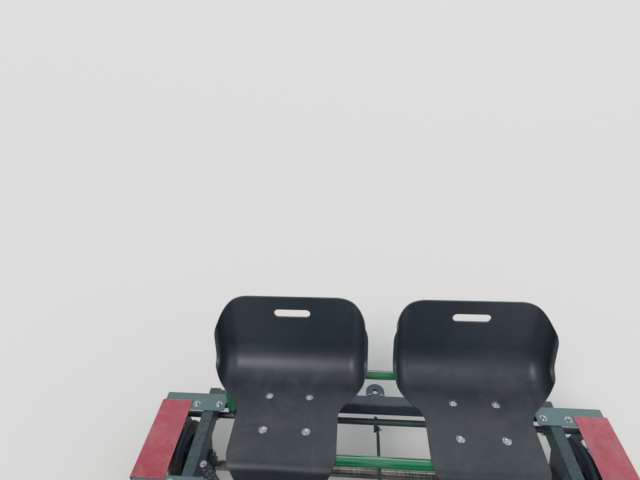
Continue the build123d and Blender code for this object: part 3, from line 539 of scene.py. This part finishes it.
def hex_bolt(mesh, centre, normal, flats=BOLT, stub=0.0):
    """A hexagon head with a chamfered crown on a washer, and a thread end where it shows."""
    rise = WASHER_RISE * flats
    washer = [(-SINK, flats), (rise * WASHER_SHOULDER, flats), (rise, flats * WASHER_CHAMFER)]
    lathe(mesh, centre, normal, washer)
    corner = flats / sqrt(3)
    turn = random.uniform(0, pi / 3)
    top = rise + HEAD_RISE * flats
    shoulder = top - HEAD_CHAMFER * flats
    head = [(rise - HEAD_SINK, corner), (shoulder, corner), (top, corner * HEAD_CROWN)]
    lathe(mesh, centre, normal, head, segments=6, turn=turn)
    if stub:
        radius = flats * THREAD_RADIUS
        shoulder = top + stub * THREAD_SHOULDER
        thread = [(top - THREAD_SINK, radius), (shoulder, radius), (top + stub, flats * THREAD_TIP)]
        lathe(mesh, centre, normal, thread, segments=12)


def weld_path(points, closed):
    """The same line as points a ripple apart."""
    points = [Vector(point) for point in points]
    if closed:
        points.append(points[0])
    path = []
    for start, end in zip(points, points[1:]):
        count = max(1, round((end - start).length / WELD_STEP))
        path += [start.lerp(end, number / count) for number in range(count)]
    if not closed:
        path.append(points[-1])
    return path


def bead(mesh, points, radius, closed=True):
    """A rippled weld bead along a line of points."""
    path = weld_path(points, closed)
    last = len(path) - 1
    rings = []
    for number, point in enumerate(path):
        if closed:
            heading = path[(number + 1) % len(path)] - path[number - 1]
        else:
            heading = path[min(number + 1, last)] - path[max(number - 1, 0)]
        _, side, other = axes_round(heading)
        swell = radius * (RIPPLE_LOW + RIPPLE_SWELL * (number % 2) + random.uniform(*RIPPLE_UNEVEN))
        wander = Vector([random.uniform(-RIPPLE_WANDER, RIPPLE_WANDER) * radius for _ in range(3)])
        corners = ring_of(point + wander, side, other, swell, WELD_CORNERS)
        rings.append([mesh.verts.new(corner) for corner in corners])
    pairs = list(zip(rings, rings[1:]))
    if closed:
        pairs.append((rings[-1], rings[0]))
    for low, high in pairs:
        # The ring that follows may be turned, so it is matched by its nearest corner
        shift = min(range(WELD_CORNERS), key=lambda number: (high[number].co - low[0].co).length)
        wall(mesh, low, high[shift:] + high[:shift])
    if not closed:
        mesh.faces.new(rings[0])
        mesh.faces.new(rings[-1])


def circle(centre, normal, radius):
    """Points round an axis, for a bead that goes round a tube."""
    _, side, other = axes_round(normal)
    return ring_of(Vector(centre), side, other, radius, CIRCLE_CORNERS)


def placed(name, data):
    """A new object in the scene."""
    thing = bpy.data.objects.new(name, data)
    bpy.context.collection.objects.link(thing)
    return thing


def piece(name, mesh, look, body, smooth_angle=40.0):
    """Makes one object of a finished bmesh, which rides on a body."""
    bmesh.ops.recalc_face_normals(mesh, faces=mesh.faces)
    data = bpy.data.meshes.new(name)
    mesh.to_mesh(data)
    mesh.free()
    data.materials.append(LOOKS[look])
    data.shade_smooth()
    data.set_sharp_from_angle(angle=radians(smooth_angle))
    thing = placed(name, data)
    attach(thing, body)
    return thing


def surface_of(name):
    """A CAD node's surface, to set small parts on."""
    data = nodes[name].data
    corners = [vertex.co for vertex in data.vertices]
    return BVHTree.FromPolygons(corners, [face.vertices for face in data.polygons])


def spot_below(surface, x, y, height):
    """The first point of a surface straight below a place, or None."""
    return surface.ray_cast(Vector((x, y, height)), Vector((0, 0, -1)))[0]


# Bolts, washers and nuts on the chassis
ABOVE_DECK = 0.5
ABOVE_SEATS = 0.75
PLATE_MIDDLES = {"outer": 0.144, "inner": 0.169}
# Across, and how far from the plate's middle line towards the axle
PLATE_BOLTS = ((0.584, 0.01), (0.668, 0.012))
BEARING_BOLT = 0.029
BEARING_FLANGE = 0.012
HANDRAIL_FOOT_Y = -0.7605
FRONT_LEG_X = 0.395
REAR_LEG_X = 0.541
FOOT_BOLT = 0.0072
FOOT_BOLT_Z = 0.2705
TRAY_BOLTS_X = (0.12, 0.315, 0.51)
TRAY_BOLTS_Z = 0.285
TRAY_WALL = 0.004
# The member's face at the brace's corner, how far out the bolts sit, and where the strip's near edge ends
BRACES = (
    (FRONT_MEMBER + MEMBER_HALF, 0.112, 0.11),
    (SEAT_MEMBER + MEMBER_HALF, 0.086, 0.083),
)
BRACE_TOP = MEMBER_TOP - 0.003
BRACE_BOLT_INSET = 0.018
BUFFER_X = 0.4
BUFFER_FACE = 0.0482
BUFFER_HEAD = [(-0.004, 0.0085), (-0.0005, 0.0085), (0.0, 0.006)]
COUPLING_BOLT_X = 0.022
COUPLING_BOLT_Y = 0.8215
COUPLING_BOLT_Z = 0.307


def end_kind(axle, end):
    """The end of a wheel's guard that is nearer to the chassis' own end is the outer one."""
    return "outer" if end * axle > 0 else "inner"


def deck_plate_bolts(mesh, plates, side, axle):
    for end in BOTH:
        middle = axle + end * PLATE_MIDDLES[end_kind(axle, end)]
        for x, inset in PLATE_BOLTS:
            spot = spot_below(plates, side * x, middle - end * inset, ABOVE_DECK)
            if spot is not None:
                hex_bolt(mesh, spot, (0, 0, 1))


def bearing_bolts(mesh, side, axle):
    """Four bolts hold each bearing, with their nuts outside the hanger."""
    head_x = SILL_X - HANGER_HALF - BEARING_FLANGE
    nut_x = SILL_X + HANGER_HALF
    for y in (axle - BEARING_BOLT, axle + BEARING_BOLT):
        for z in (AXLE_Z - BEARING_BOLT, AXLE_Z + BEARING_BOLT):
            hex_bolt(mesh, (side * head_x, y, z), (-side, 0, 0))
            hex_bolt(mesh, (side * nut_x, y, z), (side, 0, 0), stub=0.004)


def foot_bolts(mesh, side):
    """Through the capped feet of the bent tubes into the cross members."""
    feet = []
    for front_leg, rear_leg in SEAT_ROWS.values():
        feet.append((FRONT_LEG_X, front_leg, 1))
        feet.append((REAR_LEG_X, rear_leg, -1))
    feet.append((REAR_LEG_X, HANDRAIL_FOOT_Y, 1))
    for x, y, facing in feet:
        face = y + facing * (FRAME_RADIUS - SINK)
        hex_bolt(mesh, (side * x, face, FOOT_BOLT_Z), (0, facing, 0), FOOT_BOLT)


def tray_bolts(mesh, side):
    """The foot trays hang between two members."""
    front = TRAY_MEMBER + MEMBER_HALF + TRAY_WALL
    rear = SEAT_MEMBER - MEMBER_HALF - TRAY_WALL
    for x in TRAY_BOLTS_X:
        hex_bolt(mesh, (side * x, front, TRAY_BOLTS_Z), (0, 1, 0))
        hex_bolt(mesh, (side * x, rear, TRAY_BOLTS_Z), (0, -1, 0))


def brace_bolts(mesh, side):
    for corner_y, far, _ in BRACES:
        for out_x, out_y in ((BRACE_BOLT_INSET, far), (far, BRACE_BOLT_INSET)):
            centre = (side * (SILL_INNER_X - out_x), corner_y + out_y, BRACE_TOP)
            hex_bolt(mesh, centre, (0, 0, 1), SMALL_BOLT)


def buffer_bolts(mesh, side):
    for end in BOTH:
        centre = (side * BUFFER_X, end * (CHASSIS_HALF + BUFFER_FACE), MEMBER_Z)
        lathe(mesh, centre, (0, end, 0), BUFFER_HEAD, segments=18)


def coupling_bolts(mesh):
    for end in BOTH:
        for side in BOTH:
            centre = (side * COUPLING_BOLT_X, end * COUPLING_BOLT_Y, COUPLING_BOLT_Z)
            hex_bolt(mesh, centre, (0, end, 0))


def chassis_bolts():
    mesh = bmesh.new()
    plates = surface_of("deck_plates")
    for side in BOTH:
        for axle in AXLES:
            deck_plate_bolts(mesh, plates, side, axle)
            bearing_bolts(mesh, side, axle)
        foot_bolts(mesh, side)
        tray_bolts(mesh, side)
        brace_bolts(mesh, side)
        buffer_bolts(mesh, side)
    coupling_bolts(mesh)
    bolts = piece("chassis_bolts", mesh, "bolt_zinc", "chassis")


# Rivets, painted over, that hold the guards to the deck plates
GUARD_LAPS = {"outer": 0.115, "inner": 0.14}
RIVETS_X = (0.706, 0.747, 0.788)
RIVET_DOME = [(-0.0006, 0.0056), (0.0006, 0.0055), (0.0018, 0.0044), (0.0026, 0.0025), (0.0028, 0.0008)]


def guard_rivets():
    mesh = bmesh.new()
    guards = surface_of("wheel_guards")
    for side in BOTH:
        for axle in AXLES:
            for end in BOTH:
                lap = GUARD_LAPS[end_kind(axle, end)]
                for x in RIVETS_X:
                    spot = spot_below(guards, side * x, axle + end * lap, ABOVE_DECK)
                    if spot is not None:
                        lathe(mesh, spot, (0, 0, 1), RIVET_DOME, segments=20)
    rivets = piece("guard_rivets", mesh, "red_paint", "chassis", smooth_angle=60.0)


# Raised lozenges on the braces' top faces, which lie one way and the other, as on tread plate
BRACE_HALF = 0.015
LOZENGE_PITCH = 0.0165
LOZENGE_ROW = 0.0071
LOZENGE_HALF_LENGTH = 0.0078
LOZENGE_HALF_WIDTH = 0.0027
LOZENGE_RISE = 0.0012
LOZENGE_TOP = 0.72
FIRST_LOZENGE = 0.03
BARE_STRIP = 0.05
# Six corners, as shares of half the length and half the width
LOZENGE_CORNERS = ((-1, 0), (-0.4, 1), (0.4, 1), (1, 0), (0.4, -1), (-0.4, -1))


def lozenge(mesh, centre, long_way):
    """One raised lozenge, with sloping sides."""
    wide_way = Vector((-long_way.y, long_way.x, 0))
    low = []
    high = []
    for along, across in LOZENGE_CORNERS:
        spot = centre + long_way * along * LOZENGE_HALF_LENGTH + wide_way * across * LOZENGE_HALF_WIDTH
        low.append(mesh.verts.new(spot - Vector((0, 0, SINK))))
        high.append(mesh.verts.new(centre + (spot - centre) * LOZENGE_TOP + Vector((0, 0, LOZENGE_RISE))))
    wall(mesh, low, high)
    mesh.faces.new(low)
    mesh.faces.new(high)


def lozenges_along(mesh, start, end):
    """Two rows of lozenges along a strip's middle line, with bare ends for the bolts."""
    run = end - start
    along = run.normalized()
    across = Vector((-along.y, along.x, 0))
    for number in range(int((run.length - BARE_STRIP) / LOZENGE_PITCH)):
        for row in BOTH:
            turned = 1 if (number + (row > 0)) % 2 else -1
            centre = start + along * (FIRST_LOZENGE + number * LOZENGE_PITCH) + across * row * LOZENGE_ROW
            lozenge(mesh, centre, (along + across * turned).normalized())


def brace_lozenges():
    mesh = bmesh.new()
    for side in BOTH:
        for corner_y, _, near in BRACES:
            middle = near + BRACE_HALF * sqrt(2)
            start = Vector((side * SILL_INNER_X, corner_y + middle, BRACE_TOP))
            end = Vector((side * (SILL_INNER_X - middle), corner_y, BRACE_TOP))
            lozenges_along(mesh, start, end)
    tread = piece("brace_lozenges", mesh, "light_lozenge_zinc", "chassis", smooth_angle=30.0)


# Weld beads
FRAME_WELD = 0.0027
HANGER_WELD = 0.003
SHELL_WELD = 0.0022
SEAT_WELD = 0.0024
WELD_INSET = 0.002
HANGER_REACH = 0.083
SHELL_WELD_X = 0.024
SHELL_WELD_REACH = 0.02
SHELL_WELD_Z = CRANK_Z - 0.028
BOOM_RADIUS = 0.02


def member_welds(mesh, side):
    """Round the end of each cross member, against the sill."""
    inner = side * SILL_INNER_X
    low = MEMBER_BOTTOM + WELD_INSET
    high = MEMBER_TOP - WELD_INSET
    for middle in MEMBERS:
        front = middle - MEMBER_HALF
        rear = middle + MEMBER_HALF
        corners = [(inner, front, low), (inner, rear, low), (inner, rear, high), (inner, front, high)]
        bead(mesh, corners, FRAME_WELD)


def hanger_welds(mesh, side):
    """Along both faces of each hanger, under the sill."""
    for axle in AXLES:
        for x in (SILL_X - HANGER_HALF, SILL_X + HANGER_HALF):
            ends = [(side * x, axle + reach * HANGER_REACH, MEMBER_BOTTOM) for reach in BOTH]
            bead(mesh, ends, HANGER_WELD, closed=False)


def boom_welds(mesh, side):
    """Beside the crank's shell on its boom, and round the boom's two ends."""
    middle = side * CRANK_X
    for x in (middle - SHELL_WELD_X, middle + SHELL_WELD_X):
        line = [(x, CRANK_Y + reach, SHELL_WELD_Z) for reach in (-SHELL_WELD_REACH, 0.0, SHELL_WELD_REACH)]
        bead(mesh, line, SHELL_WELD, closed=False)
    for y in (BOOM_MEMBER - MEMBER_HALF, FRONT_MEMBER + MEMBER_HALF):
        bead(mesh, circle((middle, y, MEMBER_Z), (0, 1, 0), BOOM_RADIUS), FRAME_WELD)


def seat_bar_welds(mesh):
    """Round both ends of each lengthwise bar, where it meets the row's two hoops."""
    for x in SEAT_BARS:
        for front_leg, rear_leg in SEAT_ROWS.values():
            for y in (front_leg + FRAME_RADIUS, rear_leg - FRAME_RADIUS):
                bead(mesh, circle((x, y, SEAT_TUBE_Z), (0, 1, 0), FRAME_RADIUS), SEAT_WELD)


def weld_beads():
    mesh = bmesh.new()
    for side in BOTH:
        member_welds(mesh, side)
        hanger_welds(mesh, side)
        boom_welds(mesh, side)
    seat_bar_welds(mesh)
    beads = piece("weld_beads", mesh, "weld", "chassis", smooth_angle=60.0)


# The seats' bolts: a low head in a dished washer on the seat, and a nut under the bar
SEAT_BOLTS_BEHIND_LEG = (0.07, 0.19)
DISHED_WASHER = [(-SINK, 0.013), (0.0012, 0.0125), (0.0026, 0.0085), (0.0046, 0.0078), (0.0056, 0.0055)]
SEAT_NUT_Z = SEAT_TUBE_Z - FRAME_RADIUS + 0.0005


def seat_bolts():
    mesh = bmesh.new()
    for row, (front_leg, _) in SEAT_ROWS.items():
        for name, side in SIDES.items():
            shell = surface_of(f"{row}_seat_{name}")
            bars = [x for x in SEAT_BARS if x * side > 0]
            for behind in SEAT_BOLTS_BEHIND_LEG:
                y = front_leg + behind
                for x in bars:
                    spot = spot_below(shell, x, y, ABOVE_SEATS)
                    if spot is not None:
                        lathe(mesh, spot, (0, 0, 1), DISHED_WASHER, segments=28)
                        hex_bolt(mesh, (x, y, SEAT_NUT_Z), (0, 0, -1), SMALL_BOLT, stub=0.003)
    heads = piece("seat_bolts", mesh, "bolt_zinc", "chassis")


# Ribbed grips on the handrail
GRIPS_X = (-0.4, -0.195, 0.195, 0.4)
GRIP_COLLAR = [(-0.065, 0.0158), (-0.065, 0.0205), (-0.0635, 0.021), (-0.058, 0.021), (-0.0565, 0.0198)]
FIRST_RIB = -0.054
RIB_PITCH = 0.0052
RIB_COUNT = 21
RIB = [(0.0, 0.0196), (0.0008, 0.0209), (0.0026, 0.0209), (0.0034, 0.0196)]


def grip_profile():
    """A collar, the ribs one after the other, and the same collar the other way round."""
    profile = list(GRIP_COLLAR)
    for number in range(RIB_COUNT):
        start = FIRST_RIB + number * RIB_PITCH
        profile += [(start + along, radius) for along, radius in RIB]
    profile += [(-along, radius) for along, radius in reversed(GRIP_COLLAR)]
    return profile


def ribbed_grips():
    low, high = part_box("handrail_grips")
    mesh = bmesh.new()
    for x in GRIPS_X:
        centre = (x, (low.y + high.y) / 2, (low.z + high.z) / 2)
        lathe(mesh, centre, (1, 0, 0), grip_profile(), segments=36)
    grips = piece("ribbed_grips", mesh, "black_rubber", "chassis", smooth_angle=35.0)
    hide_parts("handrail_grips")


# Roller chains of single links
CHAINRING_RADIUS = CHAIN_PITCH / (2 * sin(pi / CHAINRING_TEETH))
FREEWHEEL_RADIUS = CHAIN_PITCH / (2 * sin(pi / FREEWHEEL_TEETH))
OUTER_LINK_GAP = 0.0040
INNER_LINK_GAP = 0.0028
PLATE_THICKNESS = 0.0011
PLATE_RADIUS = 0.0042
PLATE_WAIST = 0.72
PLATE_ARC = radians(230)
PLATE_ARC_STEPS = 6
ROLLER_HALF = 0.0023
ROLLER = [(0, 0.0038), (2 * ROLLER_HALF, 0.0038)]
PIN_HALF = 0.005
PIN = [(0, 0.0014), (0.0002, 0.0018), (0.0098, 0.0018), (2 * PIN_HALF, 0.0014)]


def on_circle(centre, radius, angle):
    """A point in the plane of the sprockets, as (y, z)."""
    return centre[0] + radius * cos(angle), centre[1] + radius * sin(angle)


def chain_path(x):
    """The links' pins along a chain's loop: round the chainring, and over the freewheel and back."""
    big = CHAINRING_RADIUS
    small = FREEWHEEL_RADIUS
    span = Vector(FREEWHEEL) - Vector(CHAINRING)
    heading = atan2(span.y, span.x)
    turn = acos((big - small) / span.length)
    run = sqrt(span.length**2 - (big - small) ** 2)
    # Each stretch: its kind, centre, radius, first angle, and its angle or its length
    stretches = [
        ("arc", CHAINRING, big, heading + turn, 2 * (pi - turn)),
        ("line", CHAINRING, big, heading - turn, run),
        ("arc", FREEWHEEL, small, heading - turn, 2 * turn),
        ("line", FREEWHEEL, small, heading + turn, run),
    ]
    total = big * 2 * (pi - turn) + small * 2 * turn + 2 * run
    links = 2 * round(total / CHAIN_PITCH / 2)
    pins = []
    for link in range(links):
        way = link * total / links
        for kind, centre, radius, angle, extent in stretches:
            length = radius * extent if kind == "arc" else extent
            if way <= length + 1e-9:
                break
            way -= length
        if kind == "arc":
            y, z = on_circle(centre, radius, angle + way / radius)
        else:
            # The first run leaves the chainring, and the second one comes back to it
            y, z = on_circle(centre, radius, angle)
            y += way * cos(angle + pi / 2)
            z += way * sin(angle + pi / 2)
        pins.append(Vector((x, y, z)))
    return pins


def link_plate(mesh, start, end, x):
    """A waisted side plate between two pins."""
    along = (end - start).normalized()
    across = Vector((1, 0, 0)).cross(along)
    middle = (start + end) / 2
    half = (end - start).length / 2
    outline = []
    for sign in BOTH:
        for number in range(PLATE_ARC_STEPS + 1):
            angle = (number / PLATE_ARC_STEPS - 0.5) * PLATE_ARC
            outline.append(middle + along * sign * (half + PLATE_RADIUS * cos(angle))
                           + across * sign * PLATE_RADIUS * sin(angle))
        outline.append(middle + across * sign * PLATE_RADIUS * PLATE_WAIST)
    faces = []
    for face_x in (x - PLATE_THICKNESS / 2, x + PLATE_THICKNESS / 2):
        faces.append([mesh.verts.new(Vector((face_x, point.y, point.z))) for point in outline])
    wall(mesh, faces[0], faces[1])
    mesh.faces.new(faces[0])
    mesh.faces.new(list(reversed(faces[1])))


def linked_chain(name, x):
    """Inner and outer links in turn, with a roller and a pin at each joint."""
    mesh = bmesh.new()
    pins = chain_path(x)
    for number, start in enumerate(pins):
        end = pins[(number + 1) % len(pins)]
        gap = OUTER_LINK_GAP if number % 2 else INNER_LINK_GAP
        for sign in BOTH:
            link_plate(mesh, start, end, x + sign * gap)
        lathe(mesh, start - Vector((ROLLER_HALF, 0, 0)), (1, 0, 0), ROLLER, segments=12)
        lathe(mesh, start - Vector((PIN_HALF, 0, 0)), (1, 0, 0), PIN, segments=8)
    linked = piece(f"linked_chain_{name}", mesh, "drive_steel", "chassis")
    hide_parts(f"chain_{name}")


# Small parts of the pedal drive
RING_BOLTS = 5
RING_BOLT_CIRCLE = 0.036
RING_BOLT_FACE = 0.0018
RING_BOLT_HEAD = [(-0.0002, 0.0048), (0.0016, 0.0048), (0.0024, 0.0038)]
CRANK_FACE = 0.066
CRANK_CAP = [(-0.001, 0.0125), (0.0014, 0.0125), (0.0024, 0.0112), (0.0012, 0.0062), (0.001, 0.002)]
LOCK_NOTCHES = 4
LOCK_NOTCH_CIRCLE = 0.0228
LOCK_NOTCH_TURN = 0.4
LOCK_RING_FACE = 0.011
# A notch is drawn as a thin dark disc: painted shade in place of its hollow
LOCK_NOTCH = [(-0.0002, 0.0022), (0.0003, 0.0022)]


def crank_bolts(name, side, x):
    """Five bolts hold the chainring to its spider, and a cap closes each crank's eye."""
    mesh = bmesh.new()
    for number in range(RING_BOLTS):
        angle = 2 * pi * number / RING_BOLTS + pi / RING_BOLTS
        y, z = on_circle(CHAINRING, RING_BOLT_CIRCLE, angle)
        lathe(mesh, (x - side * RING_BOLT_FACE, y, z), (-side, 0, 0), RING_BOLT_HEAD, segments=16)
    for reach in BOTH:
        face = CRANK_X * side + reach * CRANK_FACE
        lathe(mesh, (face, CRANK_Y, CRANK_Z), (reach, 0, 0), CRANK_CAP)
    caps = piece(f"crank_bolts_{name}", mesh, "bolt_zinc", f"crank_{name}")


def freewheel_notch_shades(name, side, x):
    """The lock ring's notches, as dark discs on its face: painted shade where their hollows would be."""
    mesh = bmesh.new()
    for number in range(LOCK_NOTCHES):
        angle = pi / 2 * number + LOCK_NOTCH_TURN
        y, z = on_circle(FREEWHEEL, LOCK_NOTCH_CIRCLE, angle)
        lathe(mesh, (x - side * LOCK_RING_FACE, y, z), (-side, 0, 0), LOCK_NOTCH, segments=10)
    notches = piece(f"freewheel_notch_shades_{name}", mesh, "black_plastic", f"freewheel_{name}")


# Pedals: rubber ribs on the two tread blocks, and end caps
PEDAL_BLOCK_Y = 0.037
PEDAL_RIBS = 9
PEDAL_RIB_INSET = 0.009
PEDAL_RIB = (0.0046, 0.0185, 0.0028)
PEDAL_RIB_Z = 0.0122
PEDAL_RIB_TOP = 0.72
PEDAL_CAP = [(-0.002, 0.0092), (0.0012, 0.0092), (0.0028, 0.007), (0.0032, 0.003)]
BLOCK_SCREW_Y = 0.036
BLOCK_SCREW = [(-0.001, 0.0036), (0.0008, 0.0036), (0.0016, 0.0026)]


def pedal_rib(mesh, centre, face):
    """A small bar whose top, on the side that the tread faces, is narrower than its foot."""
    size_x, size_y, size_z = PEDAL_RIB
    for vertex in bmesh.ops.create_cube(mesh, size=1.0)["verts"]:
        taper = PEDAL_RIB_TOP if vertex.co.z * face > 0 else 1.0
        x = centre[0] + vertex.co.x * size_x * taper
        y = centre[1] + vertex.co.y * size_y * taper
        vertex.co = (x, y, centre[2] + vertex.co.z * size_z)


def pedal_ribs(pedal, low, high):
    mesh = bmesh.new()
    middle = (low + high) / 2
    pitch = (high.x - low.x - 2 * PEDAL_RIB_INSET) / (PEDAL_RIBS - 1)
    for block in BOTH:
        for face in BOTH:
            for number in range(PEDAL_RIBS):
                x = low.x + PEDAL_RIB_INSET + pitch * number
                pedal_rib(mesh, (x, middle.y + block * PEDAL_BLOCK_Y, middle.z + face * PEDAL_RIB_Z), face)
    ribs = piece(f"pedal_ribs_{pedal}", mesh, "black_rubber", f"pedal_{pedal}")


def pedal_cap(pedal, low, high, reach):
    """A cap on the spindle's outer end, and a screw on each block's end beside it."""
    mesh = bmesh.new()
    middle = (low + high) / 2
    end_x = high.x if reach > 0 else low.x
    lathe(mesh, (end_x, middle.y, middle.z), (reach, 0, 0), PEDAL_CAP)
    for block in BOTH:
        centre = (end_x, middle.y + block * BLOCK_SCREW_Y, middle.z)
        lathe(mesh, centre, (reach, 0, 0), BLOCK_SCREW, segments=14)
    cap = piece(f"pedal_cap_{pedal}", mesh, "bolt_zinc", f"pedal_{pedal}")


def pedal_drive(name, side):
    x = side * (CRANK_X - CHAIN_LINE)
    linked_chain(name, x)
    crank_bolts(name, side, x)
    freewheel_notch_shades(name, side, x)
    for spot, reach in (("outer", side), ("inner", -side)):
        low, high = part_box(f"pedal_{name}_{spot}")
        pedal_ribs(f"{name}_{spot}", low, high)
        pedal_cap(f"{name}_{spot}", low, high, reach)


# Wheels and axles
HUB_FACE_X = 0.773
AXLE_WASHER = [(-0.0002, 0.0285), (0.003, 0.0285), (0.0036, 0.027)]
AXLE_NUT = [(0, 0.0235), (0.0105, 0.0235), (0.0125, 0.0215)]
AXLE_NUT_X = 0.7764
AXLE_NUT_TURN = 0.3
AXLE_END_X = 0.793
SPLIT_PIN_INSET = 0.0045
SPLIT_PIN_HALF = 0.0215
SPLIT_PIN = [(0, 0.0016), (2 * SPLIT_PIN_HALF, 0.0016)]
NIPPLE_X = 0.674
NIPPLE_ANGLE = 0.9
HUB_RADIUS = 0.0355
GREASE_NIPPLE = [(-0.001, 0.0045), (0.004, 0.0045), (0.0045, 0.003), (0.008, 0.003), (0.0095, 0.0036),
                 (0.011, 0.0022)]


def axle_end(mesh, side, y):
    """Washer, nut and split pin."""
    out = (side, 0, 0)
    lathe(mesh, (side * HUB_FACE_X, y, AXLE_Z), out, AXLE_WASHER, segments=36)
    lathe(mesh, (side * AXLE_NUT_X, y, AXLE_Z), out, AXLE_NUT, segments=6, turn=AXLE_NUT_TURN)
    foot = (side * (AXLE_END_X - SPLIT_PIN_INSET), y - SPLIT_PIN_HALF, AXLE_Z)
    lathe(mesh, foot, (0, 1, 0), SPLIT_PIN, segments=8)


def grease_nipple(mesh, side, y):
    out = (0, cos(NIPPLE_ANGLE), sin(NIPPLE_ANGLE))
    foot = Vector((side * NIPPLE_X, y, AXLE_Z)) + Vector(out) * HUB_RADIUS
    lathe(mesh, foot, out, GREASE_NIPPLE, segments=10)


def axle_nuts(place, y):
    mesh = bmesh.new()
    for side in BOTH:
        axle_end(mesh, side, y)
        grease_nipple(mesh, side, y)
    nuts = piece(f"{place}_axle_nuts", mesh, "bolt_zinc", f"{place}_axle")


# Brake: collars, end bolts and pivot nuts
COLLAR = [(0, 0.0205), (0.008, 0.0205), (0.009, 0.0195)]
COLLAR_GAP = 0.0085
SHAFT_END_X = 0.762
SHAFT_BOLT = 0.017
PIVOT_X = 0.014
PIVOT_NUT = 0.015


def brake_shaft_collars():
    """A collar on both sides of each lug, a bolt in each end, and the nut of the rod's rear eye."""
    mesh = bmesh.new()
    for side in BOTH:
        for step in BOTH:
            centre = (side * SILL_X + step * COLLAR_GAP, BRAKE_SHAFT_Y, BRAKE_PIVOT_Z)
            lathe(mesh, centre, (step, 0, 0), COLLAR, segments=28)
        hex_bolt(mesh, (side * SHAFT_END_X, BRAKE_SHAFT_Y, BRAKE_PIVOT_Z), (side, 0, 0), SHAFT_BOLT)
    hex_bolt(mesh, (ROD_NUT_X, BRAKE_SHAFT_Y, BRAKE_ROD_Z), (1, 0, 0), SMALL_BOLT)
    collars = piece("brake_shaft_collars", mesh, "bolt_zinc", "brake_shaft")


def brake_lever_nut():
    mesh = bmesh.new()
    hex_bolt(mesh, (ROD_NUT_X, LEVER_Y, BRAKE_ROD_Z), (1, 0, 0), SMALL_BOLT)
    nut = piece("brake_lever_nut", mesh, "bolt_zinc", "brake_lever")


def lever_pivot_nuts():
    mesh = bmesh.new()
    for side in BOTH:
        hex_bolt(mesh, (side * PIVOT_X, LEVER_Y, BRAKE_PIVOT_Z), (side, 0, 0), PIVOT_NUT)
    nuts = piece("lever_pivot_nuts", mesh, "bolt_zinc", "chassis")


# Stage, lights and camera
FLOOR_HALF = 70.0
FLOOR_COLOR = (0.76, 0.76, 0.75)
AMBIENT_COLOR = (0.96, 0.98, 1.0, 1.0)
AMBIENT_STRENGTH = 0.42
BACKDROP_COLOR = (0.72, 0.72, 0.72, 1.0)
KEY_COLOR = (1.0, 0.985, 0.96)
FILL_COLOR = (0.95, 0.975, 1.0)
# The camera's place, angles and lens, fitted to the two rails in the photograph
CAMERA_PLACE = (-0.0901, -0.2073, 1.7044)
YAW = radians(5.417)
PITCH = radians(33.517)
ROLL = radians(-2.3)
LENS = 24.0
SENSOR_WIDTH = 36.0
NEAREST_SEEN = 0.02


def studio_floor():
    near, far = -FLOOR_HALF, FLOOR_HALF
    data = bpy.data.meshes.new("studio_floor")
    data.from_pydata([(near, near, 0), (far, near, 0), (far, far, 0), (near, far, 0)], [], [(0, 1, 2, 3)])
    data.materials.append(Shader("studio_floor").finished(FLOOR_COLOR, 0.0, 0.9))
    placed("studio_floor", data)


def studio_world():
    """Soft light from all round, with a plain backdrop for what the camera and glossy faces see."""
    world = bpy.data.worlds.new("studio")
    bpy.context.scene.world = world
    world.use_nodes = True
    tree = world.node_tree
    tree.nodes.clear()
    backgrounds = []
    for color, strength in ((AMBIENT_COLOR, AMBIENT_STRENGTH), (BACKDROP_COLOR, 1.0)):
        background = tree.nodes.new("ShaderNodeBackground")
        put(background, Color=color, Strength=strength)
        backgrounds.append(background)
    paths = tree.nodes.new("ShaderNodeLightPath")
    seen = tree.nodes.new("ShaderNodeMath")
    seen.operation = "MAXIMUM"
    choose = tree.nodes.new("ShaderNodeMixShader")
    output = tree.nodes.new("ShaderNodeOutputWorld")
    tree.links.new(paths.outputs["Is Camera Ray"], seen.inputs[0])
    tree.links.new(paths.outputs["Is Glossy Ray"], seen.inputs[1])
    tree.links.new(seen.outputs[0], choose.inputs["Fac"])
    tree.links.new(backgrounds[0].outputs[0], choose.inputs[1])
    tree.links.new(backgrounds[1].outputs[0], choose.inputs[2])
    tree.links.new(choose.outputs[0], output.inputs["Surface"])


def soft_light(name, direction, angle, strength, color=(1.0, 1.0, 1.0)):
    """A wide, distant lamp, which lights the whole floor evenly."""
    lamp = bpy.data.lights.new(name, "SUN")
    lamp.energy = strength
    lamp.angle = radians(angle)
    lamp.color = color
    placed(name, lamp).rotation_euler = Vector(direction).to_track_quat("-Z", "Y").to_euler()


def photo_camera():
    """Stands where the photograph was taken: on board, looking back and down."""
    forward = Vector((-sin(YAW) * cos(PITCH), cos(YAW) * cos(PITCH), -sin(PITCH)))
    right = Vector((cos(YAW), sin(YAW), 0.0))
    upward = right.cross(forward)
    rolled_right = right * cos(ROLL) + upward * sin(ROLL)
    rolled_up = upward * cos(ROLL) - right * sin(ROLL)
    data = bpy.data.cameras.new("camera")
    data.lens = LENS
    data.sensor_width = SENSOR_WIDTH
    data.clip_start = NEAREST_SEEN
    camera = placed("camera", data)
    axes = Matrix((rolled_right, rolled_up, -forward)).transposed().to_4x4()
    camera.matrix_world = Matrix.Translation(CAMERA_PLACE) @ axes
    bpy.context.scene.camera = camera


# The order of these calls is also the order of the random draws
dress_nodes()
chassis_bolts()
guard_rivets()
brace_lozenges()
weld_beads()
seat_bolts()
ribbed_grips()
for name, side in SIDES.items():
    pedal_drive(name, side)
axle_nuts("front", -AXLE_Y)
axle_nuts("rear", AXLE_Y)
brake_shaft_collars()
brake_lever_nut()
lever_pivot_nuts()

studio_floor()
studio_world()
soft_light("key_light", (0.42, 0.75, -1.0), angle=24.0, strength=1.35, color=KEY_COLOR)
soft_light("fill_light", (-0.9, 0.35, -0.8), angle=45.0, strength=0.5, color=FILL_COLOR)
soft_light("back_light", (-0.15, -1.0, -0.9), angle=35.0, strength=0.5)
photo_camera()
bpy.context.scene.view_settings.view_transform = "Standard"
